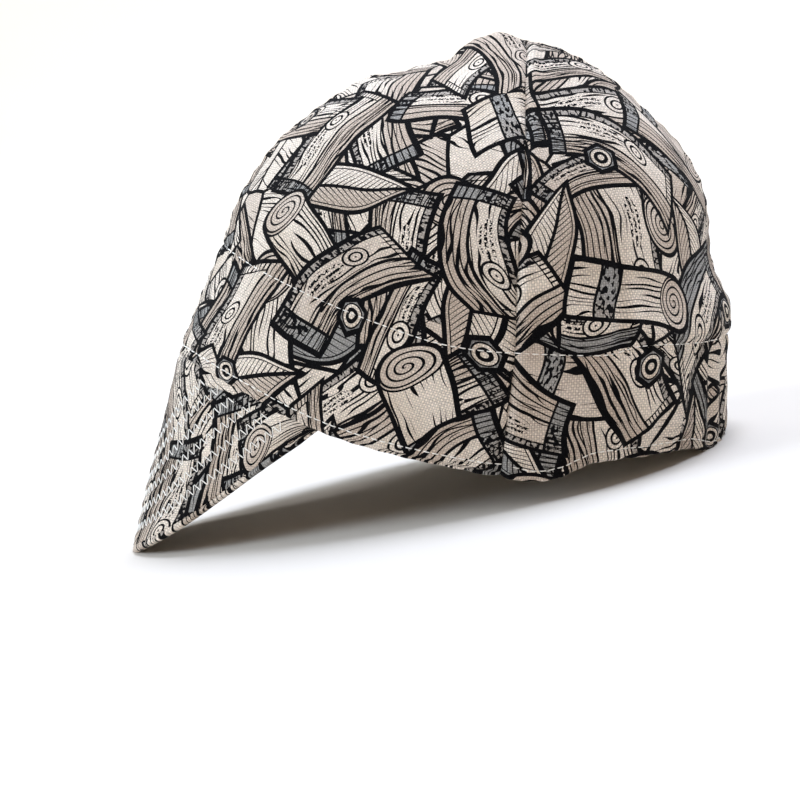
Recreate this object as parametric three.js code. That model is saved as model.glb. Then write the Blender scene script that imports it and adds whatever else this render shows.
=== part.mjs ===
// A soft cotton-canvas welding cap with a short quilted bill.
//
// The crown is four gores that meet at a point on top, with one seam in front, one behind and one
// over each ear. Inside the rim a wide sweatband runs round the front and sides, and an elastic
// casing gathers the rim behind. The bill is two plies sewn to the front of the rim.
//
// The cap is first shaped as it is worn, level on a head, and then tipped onto its bill and its back
// rim, as it stands on a table by itself. Units are millimetres, +Z is up, the front looks along -Y
// and the wearer's left side is +X.

import * as THREE from 'three';

// Cloth
const CROWN_WALL = 1.4;
const BAND_WALL = 1.2;
const BILL_PLY = 1.5;
const GAP = 0.3;
const BAND_GAP = 0.5;
const BILL_GAP = 0.5;

// Bill
const BILL_LENGTH = 80;
const BILL_END_LENGTH = 3;
const BILL_END_AZIMUTH = 58;
const BILL_TAPER = 1.05;
const BILL_ROOT_SHARE = 0.97;
const BILL_FLARE_FRONT = 0.25;
const BILL_FLARE_SIDE = 0.1;
const BILL_NARROWING = 0.12;
const BILL_NARROW_LENGTH = 0.6 * BILL_LENGTH;

// Sweatband and elastic casing, whose ends are an angle apart in degrees
const BAND_ABOVE_HEM = 0.025;
const BAND_END_GAP = 0.25;
const ELASTIC_FROM_AZIMUTH = 113;
const GATHER_FOLDS = 7;
const GATHER_HEIGHT = 1.3;
const GATHER_START = { before: 3, after: 6 };
const GATHER_TOP = { above: 0.06, below: 0.05 };

// Shares of the height over which folds die out at the hem and the rim's dips begin
const HEM_FADE = 0.03;
const DIP_FROM_SHARE = 0.8;

// How far the cloth is pressed flat where it touches the table
const PRESS = 1.2;

// How square the oval of the head is: 1 is an ellipse, and less is squarer
const OVAL_POWER = 0.943;

// Radius of the small opening where the four gore points meet
const POINT_RADIUS = 1.0;

// Sections of the crown from its top (share 0) to the rim (share 1), with the cap worn level.
// seamY is where the side seams run, and front, side and back are the outermost points there.
const SECTIONS = [
  { share: 0.00, seamY: 27.2, frontY: 27.2, frontZ: 137.0, sideX: 0.0, sideZ: 137.0, backY: 27.2, backZ: 137.0 },
  { share: 0.06, seamY: 27.0, frontY: 15.5, frontZ: 141.0, sideX: 12.5, sideZ: 135.3, backY: 38.5, backZ: 136.2 },
  { share: 0.14, seamY: 26.5, frontY: 0.5, frontZ: 137.2, sideX: 28.0, sideZ: 129.5, backY: 52.5, backZ: 130.0 },
  { share: 0.25, seamY: 26.0, frontY: -19.5, frontZ: 129.2, sideX: 47.5, sideZ: 117.5, backY: 68.7, backZ: 117.3 },
  { share: 0.38, seamY: 25.5, frontY: -43.0, frontZ: 120.6, sideX: 65.5, sideZ: 99.0, backY: 85.5, backZ: 99.6 },
  { share: 0.51, seamY: 24.0, frontY: -63.5, frontZ: 105.6, sideX: 76.0, sideZ: 75.5, backY: 96.7, backZ: 77.5 },
  { share: 0.65, seamY: 22.5, frontY: -80.5, frontZ: 84.0, sideX: 80.5, sideZ: 51.0, backY: 101.0, backZ: 52.5 },
  { share: 0.78, seamY: 22.0, frontY: -90.2, frontZ: 59.8, sideX: 82.0, sideZ: 29.6, backY: 107.0, backZ: 30.5 },
  { share: 0.90, seamY: 19.5, frontY: -99.3, frontZ: 38.5, sideX: 82.5, sideZ: 6.5, backY: 106.2, backZ: 7.5 },
  { share: 1.00, seamY: 17.0, frontY: -106.6, frontZ: 18.9, sideX: 82.0, sideZ: -15.2, backY: 104.7, backZ: -12.6 },
];

// How far the rim hangs below the plain curve through front, side and back, by degrees from the front
const RIM_DIPS = [
  { azimuth: 0, dip: 0.0 },
  { azimuth: 22, dip: -5.0 },
  { azimuth: 42, dip: -6.6 },
  { azimuth: 60, dip: -5.0 },
  { azimuth: 76, dip: -3.6 },
  { azimuth: 90, dip: -0.2 },
  { azimuth: 97, dip: 2.4 },
  { azimuth: 103, dip: 1.2 },
  { azimuth: 111, dip: -3.4 },
  { azimuth: 125, dip: -4.0 },
  { azimuth: 143, dip: -3.4 },
  { azimuth: 157, dip: 0.6 },
  { azimuth: 180, dip: 0.0 },
];

// Where the stitched top edge of the sweatband runs
const BAND_LINE = [
  { azimuth: 0, share: 0.772 },
  { azimuth: 25, share: 0.762 },
  { azimuth: 48, share: 0.755 },
  { azimuth: 64, share: 0.761 },
  { azimuth: 80, share: 0.779 },
  { azimuth: 100, share: 0.790 },
  { azimuth: 113, share: 0.793 },
  { azimuth: 121, share: 0.780 },
  { azimuth: 145, share: 0.789 },
  { azimuth: 180, share: 0.795 },
];

// Large soft folds of the crown above and below the gathered stretch, outward
const FOLDS = [
  { azimuth: 113, share: 0.70, spread: 3.2, run: 0.07, lean: -10, height: 1.6 },
  { azimuth: 117, share: 0.88, spread: 3.4, run: 0.06, lean: 30, height: 1.5 },
  { azimuth: 131, share: 0.86, spread: 3.6, run: 0.06, lean: 6, height: 1.4 },
  { azimuth: 150, share: 0.72, spread: 6.0, run: 0.05, lean: 20, height: 1.4 },
  { azimuth: 168, share: 0.74, spread: 5.0, run: 0.04, lean: 0, height: 1.2 },
];

const CANVAS_COLOUR = 0xd9cbb8;
const UNDER_COLOUR = 0xc9bba6;
const BAND_COLOUR = 0xcfc2ae;
const CANVAS_ROUGHNESS = 0.9;
const BAND_ROUGHNESS = 0.85;

// How finely each piece is faceted, round the cap and down it; below 1, rows crowd towards the rim
const FRONT_COLUMNS = 14;
const BACK_COLUMNS = 34;
const CROWN_ROWS = 20;
const ROW_CROWDING = 0.9;
const SWEATBAND_COLUMNS = 44;
const CASING_COLUMNS = 30;
const BAND_ROWS = 3;
const BILL_COLUMNS = 28;
const BILL_ROWS = 6;

// Steps over which slopes are measured, in degrees round the cap and in shares down it and out
const SLOPE_AZIMUTH = 0.5;
const SLOPE_SHARE = 0.004;
const SLOPE_OUT = 0.01;

const DEGREE = Math.PI / 180;

/** Smooth value of one column of a table at a place between its rows. */
function along(table, placeKey, valueKey, place) {
  const places = table.map((row) => row[placeKey]);
  const last = table.length - 1;
  const at = Math.min(Math.max(place, places[0]), places[last]);
  const low = places.findIndex((_, i) => i === last - 1 || at < places[i + 1]);
  const slope = (i) => {
    const before = Math.max(i - 1, 0);
    const after = Math.min(i + 1, last);
    return (table[after][valueKey] - table[before][valueKey]) / (places[after] - places[before]);
  };
  const span = places[low + 1] - places[low];
  const s = (at - places[low]) / span;
  const start = table[low][valueKey];
  const end = table[low + 1][valueKey];
  const rise = (s ** 3 - 2 * s ** 2 + s) * span * slope(low) + (s ** 3 - s ** 2) * span * slope(low + 1);
  return start + (3 * s ** 2 - 2 * s ** 3) * (end - start) + rise;
}

/** Rises smoothly from 0 at low to 1 at high. */
function smoothStep(value, low, high) {
  return THREE.MathUtils.smoothstep(value, low, high);
}

/** Point on the crown's outer face without its small folds, azimuth in degrees from the front. */
function crownPoint(azimuth, share) {
  const angle = azimuth * DEGREE;
  const forward = Math.cos(angle);
  const column = (key) => along(SECTIONS, 'share', key, share);
  const end = forward > 0 ? 'front' : 'back';
  const reach = Math.abs(forward) ** OVAL_POWER;
  const seamY = column('seamY');
  const sideZ = column('sideZ');
  const dip = along(RIM_DIPS, 'azimuth', 'dip', azimuth) * smoothStep(share, DIP_FROM_SHARE, 1);
  return new THREE.Vector3(
    column('sideX') * Math.abs(Math.sin(angle)) ** OVAL_POWER,
    seamY + (column(`${end}Y`) - seamY) * reach,
    sideZ + (column(`${end}Z`) - sideZ) * forward ** 2 - dip,
  );
}

/** Unit vector square to a surface, found from nearby points, pointing away from the axis of the cap. */
function outward(surface, u, v, stepU, stepV) {
  const alongU = surface(u + stepU, v).sub(surface(u - stepU, v));
  const alongV = surface(u, v + stepV).sub(surface(u, v - stepV));
  return alongV.cross(alongU).normalize();
}

/** The crown's outward direction, taken a little inside the tables' ends. */
function crownNormal(azimuth, share) {
  const inset = SLOPE_AZIMUTH + 0.01;
  const u = THREE.MathUtils.clamp(azimuth, inset, 180 - inset);
  const v = THREE.MathUtils.clamp(share, SLOPE_SHARE, 1 - SLOPE_SHARE);
  const normal = outward(crownPoint, u, v, SLOPE_AZIMUTH, SLOPE_SHARE);
  const atMiddle = azimuth < 1 || azimuth > 179;
  if (atMiddle) {
    normal.x = 0;
    normal.normalize();
  }
  return normal;
}

/** Height of the cloth's folds above the plain crown. */
function foldHeight(azimuth, share) {
  const bandShare = along(BAND_LINE, 'azimuth', 'share', azimuth);
  const elastic = azimuth - ELASTIC_FROM_AZIMUTH;
  const inElastic = smoothStep(elastic, -GATHER_START.before, GATHER_START.after);
  const downFromBand = smoothStep(share - bandShare, -GATHER_TOP.above, GATHER_TOP.below);
  const turn = elastic / (180 - ELASTIC_FROM_AZIMUTH);
  const ripple = 0.5 - 0.5 * Math.cos(2 * Math.PI * GATHER_FOLDS * turn);
  let height = GATHER_HEIGHT * ripple * inElastic * downFromBand;
  for (const fold of FOLDS) {
    const across = (azimuth - fold.azimuth - fold.lean * (share - fold.share)) / fold.spread;
    const down = (share - fold.share) / fold.run;
    height += fold.height * Math.exp(-0.5 * (across ** 2 + down ** 2));
  }
  return height * smoothStep(1 - share, 0, HEM_FADE);
}

/** Point at a depth inside the crown's plain outer face. */
function insideCrown(azimuth, share, depth) {
  return crownPoint(azimuth, share).addScaledVector(crownNormal(azimuth, share), -depth);
}

/** Falls from 1 at the middle of the bill to 0 at its ends. */
function billMiddle(azimuth) {
  return Math.max(Math.cos((azimuth / BILL_END_AZIMUTH) * 90 * DEGREE), 0);
}

/** Direction in which the bill leaves the rim. */
function billDirection(azimuth) {
  const flare = THREE.MathUtils.lerp(BILL_FLARE_SIDE, BILL_FLARE_FRONT, billMiddle(azimuth) ** 2);
  const away = crownNormal(azimuth, BILL_ROOT_SHARE).setZ(0).normalize();
  return away.multiplyScalar(flare).setZ(-1).normalize();
}

/** Length of the bill from the rim to its edge. */
function billLength(azimuth) {
  return THREE.MathUtils.lerp(BILL_END_LENGTH, BILL_LENGTH, billMiddle(azimuth) ** BILL_TAPER);
}

/** Point on the bill's upper face, out from the rim (0) to its edge (1). */
function billPoint(azimuth, out) {
  const reach = BILL_GAP + out * billLength(azimuth);
  const point = crownPoint(azimuth, 1).addScaledVector(billDirection(azimuth), reach);
  point.x *= 1 - BILL_NARROWING * out * smoothStep(billLength(azimuth), 0, BILL_NARROW_LENGTH);
  return point;
}

/** Point at a depth under the bill's upper face. */
function underBill(azimuth, out, depth) {
  const inset = SLOPE_AZIMUTH + 0.1;
  const u = THREE.MathUtils.clamp(azimuth, inset, BILL_END_AZIMUTH - inset);
  const v = THREE.MathUtils.clamp(out, 2 * SLOPE_OUT, 1 - 2 * SLOPE_OUT);
  const normal = outward(billPoint, u, v, SLOPE_AZIMUTH, SLOPE_OUT);
  if (azimuth < 1) {
    normal.x = 0;
    normal.normalize();
  }
  return billPoint(azimuth, out).addScaledVector(normal, -depth);
}

/** Mirrors a surface of the wearer's left half so that it also takes azimuths below 0. */
function bothSides(surface) {
  return (azimuth, place) => {
    const point = surface(Math.abs(azimuth), place);
    if (azimuth < 0) {
      point.x = -point.x;
    }
    return point;
  };
}

/** Closed shell between two faces that are grids over the same numbers of columns and rows. */
function shell(columns, rows, outerAt, innerAt) {
  const positions = [];
  const index = [];
  for (const face of [outerAt, innerAt]) {
    for (let j = 0; j <= rows; j += 1) {
      for (let i = 0; i <= columns; i += 1) {
        positions.push(...face(i / columns, j / rows).toArray());
      }
    }
  }
  const layer = (columns + 1) * (rows + 1);
  const at = (i, j, face) => face * layer + j * (columns + 1) + i;
  const quad = (a, b, c, d) => index.push(a, b, c, a, c, d);
  for (let j = 0; j < rows; j += 1) {
    for (let i = 0; i < columns; i += 1) {
      quad(at(i, j, 0), at(i, j + 1, 0), at(i + 1, j + 1, 0), at(i + 1, j, 0));
      quad(at(i, j, 1), at(i + 1, j, 1), at(i + 1, j + 1, 1), at(i, j + 1, 1));
    }
  }
  for (let i = 0; i < columns; i += 1) {
    quad(at(i, 0, 0), at(i + 1, 0, 0), at(i + 1, 0, 1), at(i, 0, 1));
    quad(at(i, rows, 0), at(i, rows, 1), at(i + 1, rows, 1), at(i + 1, rows, 0));
  }
  for (let j = 0; j < rows; j += 1) {
    quad(at(0, j, 0), at(0, j, 1), at(0, j + 1, 1), at(0, j + 1, 0));
    quad(at(columns, j, 0), at(columns, j + 1, 0), at(columns, j + 1, 1), at(columns, j, 1));
  }
  const geometry = new THREE.BufferGeometry();
  geometry.setAttribute('position', new THREE.Float32BufferAttribute(positions, 3));
  geometry.setIndex(index);
  return geometry;
}

/** Six times the volume that a closed geometry holds, below zero when it is inside out. */
function signedVolume(geometry) {
  const points = geometry.getAttribute('position');
  const index = geometry.getIndex().array;
  const corner = [new THREE.Vector3(), new THREE.Vector3(), new THREE.Vector3()];
  let volume = 0;
  for (let i = 0; i < index.length; i += 3) {
    corner.forEach((vertex, k) => vertex.fromBufferAttribute(points, index[i + k]));
    volume += corner[0].dot(corner[1].cross(corner[2]));
  }
  return volume;
}

/** Turns a closed geometry's faces so that they point out. */
function facingOut(geometry) {
  if (signedVolume(geometry) < 0) {
    const index = geometry.getIndex().array;
    for (let i = 0; i < index.length; i += 3) {
      [index[i + 1], index[i + 2]] = [index[i + 2], index[i + 1]];
    }
  }
  return geometry;
}

/** Share of the crown's height at which its section first has the radius of the point. */
function shareAtRadius(radius) {
  let share = 0;
  while (crownPoint(90, share).x < radius) {
    share += 0.0005;
  }
  return share;
}

const POINT_SHARE = shareAtRadius(POINT_RADIUS);

/** One gore of the crown between the middle seam and the ear seam, on the left (1) or right (-1). */
function gore(isFront, side) {
  const firstSeam = isFront ? 0 : 90;
  const shareAt = (row) => THREE.MathUtils.lerp(POINT_SHARE, 1, row ** ROW_CROWDING);
  const azimuthAt = (column, share) => {
    const radius = Math.max(crownPoint(90, share).x, POINT_RADIUS);
    const inset = Math.asin(Math.min((GAP / 2) / radius, 0.5)) / DEGREE;
    return firstSeam + inset + (90 - 2 * inset) * column;
  };
  const face = (pointAt) => (column, row) => {
    const share = shareAt(row);
    const point = pointAt(azimuthAt(column, share), share);
    point.x = Math.max(point.x, GAP / 2) * side;
    return point;
  };
  const outer = face((azimuth, share) => insideCrown(azimuth, share, -foldHeight(azimuth, share)));
  const inner = face((azimuth, share) => insideCrown(azimuth, share, CROWN_WALL));
  return shell(isFront ? FRONT_COLUMNS : BACK_COLUMNS, CROWN_ROWS, outer, inner);
}

/** Part of the band inside the rim, from one azimuth round to another. */
function rimBand(fromAzimuth, toAzimuth, columns) {
  const face = (depth) => (column, row) => {
    const azimuth = THREE.MathUtils.lerp(fromAzimuth, toAzimuth, column);
    const around = azimuth > 180 ? azimuth - 360 : azimuth;
    const top = along(BAND_LINE, 'azimuth', 'share', Math.abs(around));
    const surface = bothSides((a, share) => insideCrown(a, share, depth));
    return surface(around, THREE.MathUtils.lerp(top, 1 - BAND_ABOVE_HEM, row));
  };
  return shell(columns, BAND_ROWS, face(CROWN_WALL + BAND_GAP), face(CROWN_WALL + BAND_GAP + BAND_WALL));
}

/** One ply of the bill between two depths under its upper face. */
function billPly(topDepth, bottomDepth) {
  const face = (depth) => (column, row) => {
    const azimuth = THREE.MathUtils.lerp(-BILL_END_AZIMUTH, BILL_END_AZIMUTH, column);
    return bothSides((a, out) => underBill(a, out, depth))(azimuth, row);
  };
  return shell(BILL_COLUMNS, BILL_ROWS, face(topDepth), face(bottomDepth));
}

/** Tips the cap onto its bill and back rim, presses the cloth flat there and centres it over the origin. */
function settle(geometries) {
  const billTip = underBill(0, 1, 2 * BILL_PLY + GAP);
  const backRim = crownPoint(180, 1);
  const tilt = Math.atan2(backRim.z - billTip.z, backRim.y - billTip.y);
  const turn = new THREE.Matrix4().makeRotationX(-tilt);
  const box = new THREE.Box3();
  for (const geometry of geometries) {
    geometry.applyMatrix4(turn);
    geometry.computeBoundingBox();
    box.union(geometry.boundingBox);
  }
  const table = box.min.z + PRESS;
  const middleY = (box.min.y + box.max.y) / 2;
  for (const geometry of geometries) {
    const points = geometry.getAttribute('position');
    for (let i = 0; i < points.count; i += 1) {
      points.setZ(i, Math.max(points.getZ(i) - table, 0));
      points.setY(i, points.getY(i) - middleY);
    }
  }
}

/** A plain woven cloth of one colour. */
function cloth(colour, roughness) {
  return new THREE.MeshStandardMaterial({ color: colour, roughness, metalness: 0 });
}

/** Named mesh of one piece of cloth. */
function piece(name, geometry, material) {
  const mesh = new THREE.Mesh(geometry, material);
  mesh.name = name;
  return mesh;
}

/** The sweatband, round the front and sides. */
function sweatbandShape() {
  return rimBand(-ELASTIC_FROM_AZIMUTH, ELASTIC_FROM_AZIMUTH, SWEATBAND_COLUMNS);
}

/** The elastic casing, behind, with a gap to the sweatband at each end. */
function casingShape() {
  const from = ELASTIC_FROM_AZIMUTH + BAND_END_GAP;
  return rimBand(from, 360 - from, CASING_COLUMNS);
}

const printedCanvas = cloth(CANVAS_COLOUR, CANVAS_ROUGHNESS);
const underCanvas = cloth(UNDER_COLOUR, CANVAS_ROUGHNESS);
const bandCotton = cloth(BAND_COLOUR, BAND_ROUGHNESS);

const pieces = [
  piece('crown_front_left', gore(true, 1), printedCanvas),
  piece('crown_front_right', gore(true, -1), printedCanvas),
  piece('crown_back_left', gore(false, 1), printedCanvas),
  piece('crown_back_right', gore(false, -1), printedCanvas),
  piece('sweatband', sweatbandShape(), bandCotton),
  piece('elastic_casing', casingShape(), bandCotton),
  piece('bill_upper', billPly(0, BILL_PLY), printedCanvas),
  piece('bill_under', billPly(BILL_PLY + GAP, 2 * BILL_PLY + GAP), underCanvas),
];

const geometries = pieces.map((mesh) => mesh.geometry);
geometries.forEach(facingOut);
settle(geometries);

const cap = new THREE.Group();
cap.add(...pieces);

export default cap;
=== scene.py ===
"""Looks of a soft canvas welding cap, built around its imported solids.

The crown is four gores of printed canvas sewn to a point, gathered behind by elastic in a casing.
A quilted bill of two plies is sewn to the front of the rim, and a cotton sweatband runs inside it.
The form is worked out level, as the cap is worn, in millimetres, and then laid on the table.
"""
import logging
import math
from dataclasses import dataclass, field
from enum import Enum
from typing import Callable

import bpy
import numpy as np
from mathutils import Matrix, Vector


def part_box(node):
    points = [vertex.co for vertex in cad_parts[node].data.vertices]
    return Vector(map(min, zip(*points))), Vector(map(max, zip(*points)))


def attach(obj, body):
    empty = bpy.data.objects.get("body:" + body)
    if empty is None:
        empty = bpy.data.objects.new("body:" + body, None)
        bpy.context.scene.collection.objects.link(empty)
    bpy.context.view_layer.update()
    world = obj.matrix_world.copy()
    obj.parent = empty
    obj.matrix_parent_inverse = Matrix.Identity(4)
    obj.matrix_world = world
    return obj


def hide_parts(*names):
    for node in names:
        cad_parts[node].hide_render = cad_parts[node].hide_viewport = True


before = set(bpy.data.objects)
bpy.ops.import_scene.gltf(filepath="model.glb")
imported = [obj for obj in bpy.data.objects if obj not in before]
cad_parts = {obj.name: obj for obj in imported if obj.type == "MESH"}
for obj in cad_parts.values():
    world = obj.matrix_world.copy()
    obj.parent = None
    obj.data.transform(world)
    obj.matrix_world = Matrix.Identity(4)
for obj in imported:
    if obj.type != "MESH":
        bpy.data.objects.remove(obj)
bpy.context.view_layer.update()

MM = 0.001
LOG = logging.getLogger("welding_cap")
SEAM_AZIMUTHS = (0, 90, 180)
EAR_AZIMUTH = 90
CUT_MAP = "cut_cloth"
TINY = 1e-9

Array = np.ndarray
Object = bpy.types.Object
Tree = bpy.types.NodeTree
Node = bpy.types.Node
Socket = bpy.types.NodeSocket
Material = bpy.types.Material
Drawn = tuple[Node, Node]
Looks = tuple[Node | tuple, Node, dict]


class Side(Enum):
    """Half of the cap, with the sign of X there."""

    LEFT = 1
    RIGHT = -1


class Motif(Enum):
    """Drawing that one layer of the print repeats."""

    LEAF = "leaf"
    BOARDS = "stacked boards"
    ROLL = "rolled bark"
    NUT = "nut"


@dataclass(frozen=True)
class Section:
    """Outermost points of the crown at one share of the way from its top to the rim, in mm."""

    share: float
    seam_y: float
    front_y: float
    front_z: float
    side_x: float
    side_z: float
    back_y: float
    back_z: float


@dataclass(frozen=True)
class RimDip:
    """How far the rim hangs below its plain curve at an azimuth from the front."""

    azimuth: float
    dip: float


@dataclass(frozen=True)
class BandPlace:
    """Share of the crown at which the sweatband's top seam runs."""

    azimuth: float
    share: float


@dataclass(frozen=True)
class Stand:
    """How far the sewn cloth stands off its plain form at its front, side and back, in mm."""

    share: float
    front: float
    side: float
    back: float


@dataclass(frozen=True)
class Fold:
    """One soft ridge or crease: where it lies, how wide and long it is, how it leans and stands."""

    azimuth: float
    share: float
    spread: float
    run: float
    lean: float
    height: float


SECTIONS = (
    Section(0.00, 27.2, 27.2, 137.0, 0.0, 137.0, 27.2, 137.0),
    Section(0.06, 27.0, 15.5, 141.0, 12.5, 135.3, 38.5, 136.2),
    Section(0.14, 26.5, 0.5, 137.2, 28.0, 129.5, 52.5, 130.0),
    Section(0.25, 26.0, -19.5, 129.2, 47.5, 117.5, 68.7, 117.3),
    Section(0.38, 25.5, -43.0, 120.6, 65.5, 99.0, 85.5, 99.6),
    Section(0.51, 24.0, -63.5, 105.6, 76.0, 75.5, 96.7, 77.5),
    Section(0.65, 22.5, -80.5, 84.0, 80.5, 51.0, 101.0, 52.5),
    Section(0.78, 22.0, -90.2, 59.8, 82.0, 29.6, 107.0, 30.5),
    Section(0.90, 19.5, -99.3, 38.5, 82.5, 6.5, 106.2, 7.5),
    Section(1.00, 17.0, -106.6, 18.9, 82.0, -15.2, 104.7, -12.6),
)
RIM_DIPS = tuple(RimDip(*row) for row in (
    (0, 0.0), (22, -5.0), (42, -6.6), (60, -5.0), (76, -3.6), (90, -0.2), (97, 2.4), (103, 1.2),
    (111, -3.4), (125, -4.0), (143, -3.4), (157, 0.6), (180, 0.0),
))
BAND_LINE = tuple(BandPlace(*row) for row in (
    (0, 0.772), (25, 0.762), (48, 0.755), (64, 0.761), (80, 0.779), (100, 0.790), (113, 0.793),
    (121, 0.780), (145, 0.789), (180, 0.795),
))
STANDS = tuple(Stand(*row) for row in (
    (0.00, 2.4, 2.4, 2.4), (0.04, 2.0, 1.2, 0.6), (0.09, 0.0, 0.3, -0.3), (0.12, -0.4, 0.0, -0.4),
    (0.16, -3.6, 0.0, -0.5), (0.22, -2.5, 0.0, -0.5), (0.27, -1.8, 0.0, -0.6), (0.32, -0.2, 0.0, -0.5),
    (0.38, -1.9, 0.0, 0.0), (0.46, -1.8, 0.0, 0.1), (0.53, -0.9, 0.0, -0.9), (0.62, -1.6, 0.0, -1.6),
    (0.72, -0.5, 0.0, 0.4), (0.76, -0.4, 0.0, 0.6), (0.80, -0.3, 0.0, -2.0), (0.84, -0.3, 0.0, -2.9),
    (0.90, -0.3, 0.0, -1.6), (1.00, -0.7, 0.0, -0.7),
))
FOLDS = tuple(Fold(*row) for row in (
    (116.2, 0.73, 1.5, 0.080, -10, -2.4), (120.0, 0.72, 2.0, 0.060, -8, 1.5),
    (112.3, 0.72, 2.2, 0.070, -8, 0.9), (119.5, 0.88, 3.6, 0.060, -30, 2.0),
    (110.5, 0.90, 2.6, 0.050, -40, 0.9), (131.0, 0.86, 3.6, 0.060, 6, 1.4),
    (150.0, 0.70, 6.0, 0.050, 20, 1.4), (166.0, 0.70, 6.0, 0.035, 0, 1.1),
    (172.0, 0.762, 11.0, 0.012, 0, -1.3), (62.0, 0.66, 5.0, 0.10, 60, -0.9),
    (70.0, 0.64, 5.0, 0.10, 60, 0.9), (30.0, 0.60, 6.0, 0.12, -40, -0.8), (38.0, 0.62, 5.0, 0.12, -40, 0.8),
    (141.0, 0.45, 6.0, 0.12, 30, -0.9), (150.0, 0.43, 6.0, 0.12, 30, 0.9),
))


def column(table: tuple, name: str) -> Array:
    """One named column of a table.

    Args:
        table: rows of one dataclass.
        name: the field to take.

    Returns:
        The values, top row first.
    """
    return np.array([getattr(row, name) for row in table], dtype=float)


def along(places: Array, values: Array, at: Array) -> Array:
    """Smooth curve through a table's values.

    Args:
        places: where the values stand, rising.
        values: the values there.
        at: the places to read.

    Returns:
        The curve's value at each place.
    """
    last = len(places) - 1
    rows = np.arange(last + 1)
    after, before = np.minimum(rows + 1, last), np.maximum(rows - 1, 0)
    slopes = (values[after] - values[before]) / (places[after] - places[before])
    at = np.clip(at, places[0], places[last])
    low = np.clip(np.searchsorted(places, at, side="right") - 1, 0, last - 1)
    span = places[low + 1] - places[low]
    s = (at - places[low]) / span
    rise = (s**3 - 2 * s**2 + s) * slopes[low] + (s**3 - s**2) * slopes[low + 1]
    return values[low] + (3 * s**2 - 2 * s**3) * (values[low + 1] - values[low]) + rise * span


def smooth_step(value: Array, low: float | Array, high: float | Array) -> Array:
    """Rises smoothly from 0 at low to 1 at high."""
    s = np.clip((value - low) / (high - low), 0, 1)
    return s * s * (3 - 2 * s)


def bell(distance: Array, width: float) -> Array:
    """A smooth hump that is 1 at distance 0 and falls off over width."""
    return np.exp(-((distance / width) ** 2))


def unit(vectors: Array) -> Array:
    """Vectors scaled to length 1."""
    return vectors / np.maximum(np.linalg.norm(vectors, axis=-1, keepdims=True), TINY)


def signed(azimuth: Array) -> Array:
    """Azimuths brought between -180 and 180, above 0 on the wearer's left."""
    return (np.asarray(azimuth, float) + 180) % 360 - 180


def running_length(points: Array, axis: int) -> Array:
    """Distance along one axis of a grid of points.

    Args:
        points: grid of positions, the last axis being X, Y and Z.
        axis: the grid axis to walk along.

    Returns:
        The distance walked from the first point, for each point.
    """
    steps = np.linalg.norm(np.diff(points, axis=axis), axis=-1)
    pad = [(0, 0)] * steps.ndim
    pad[axis] = (1, 0)
    return np.pad(np.cumsum(steps, axis=axis), pad)


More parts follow.
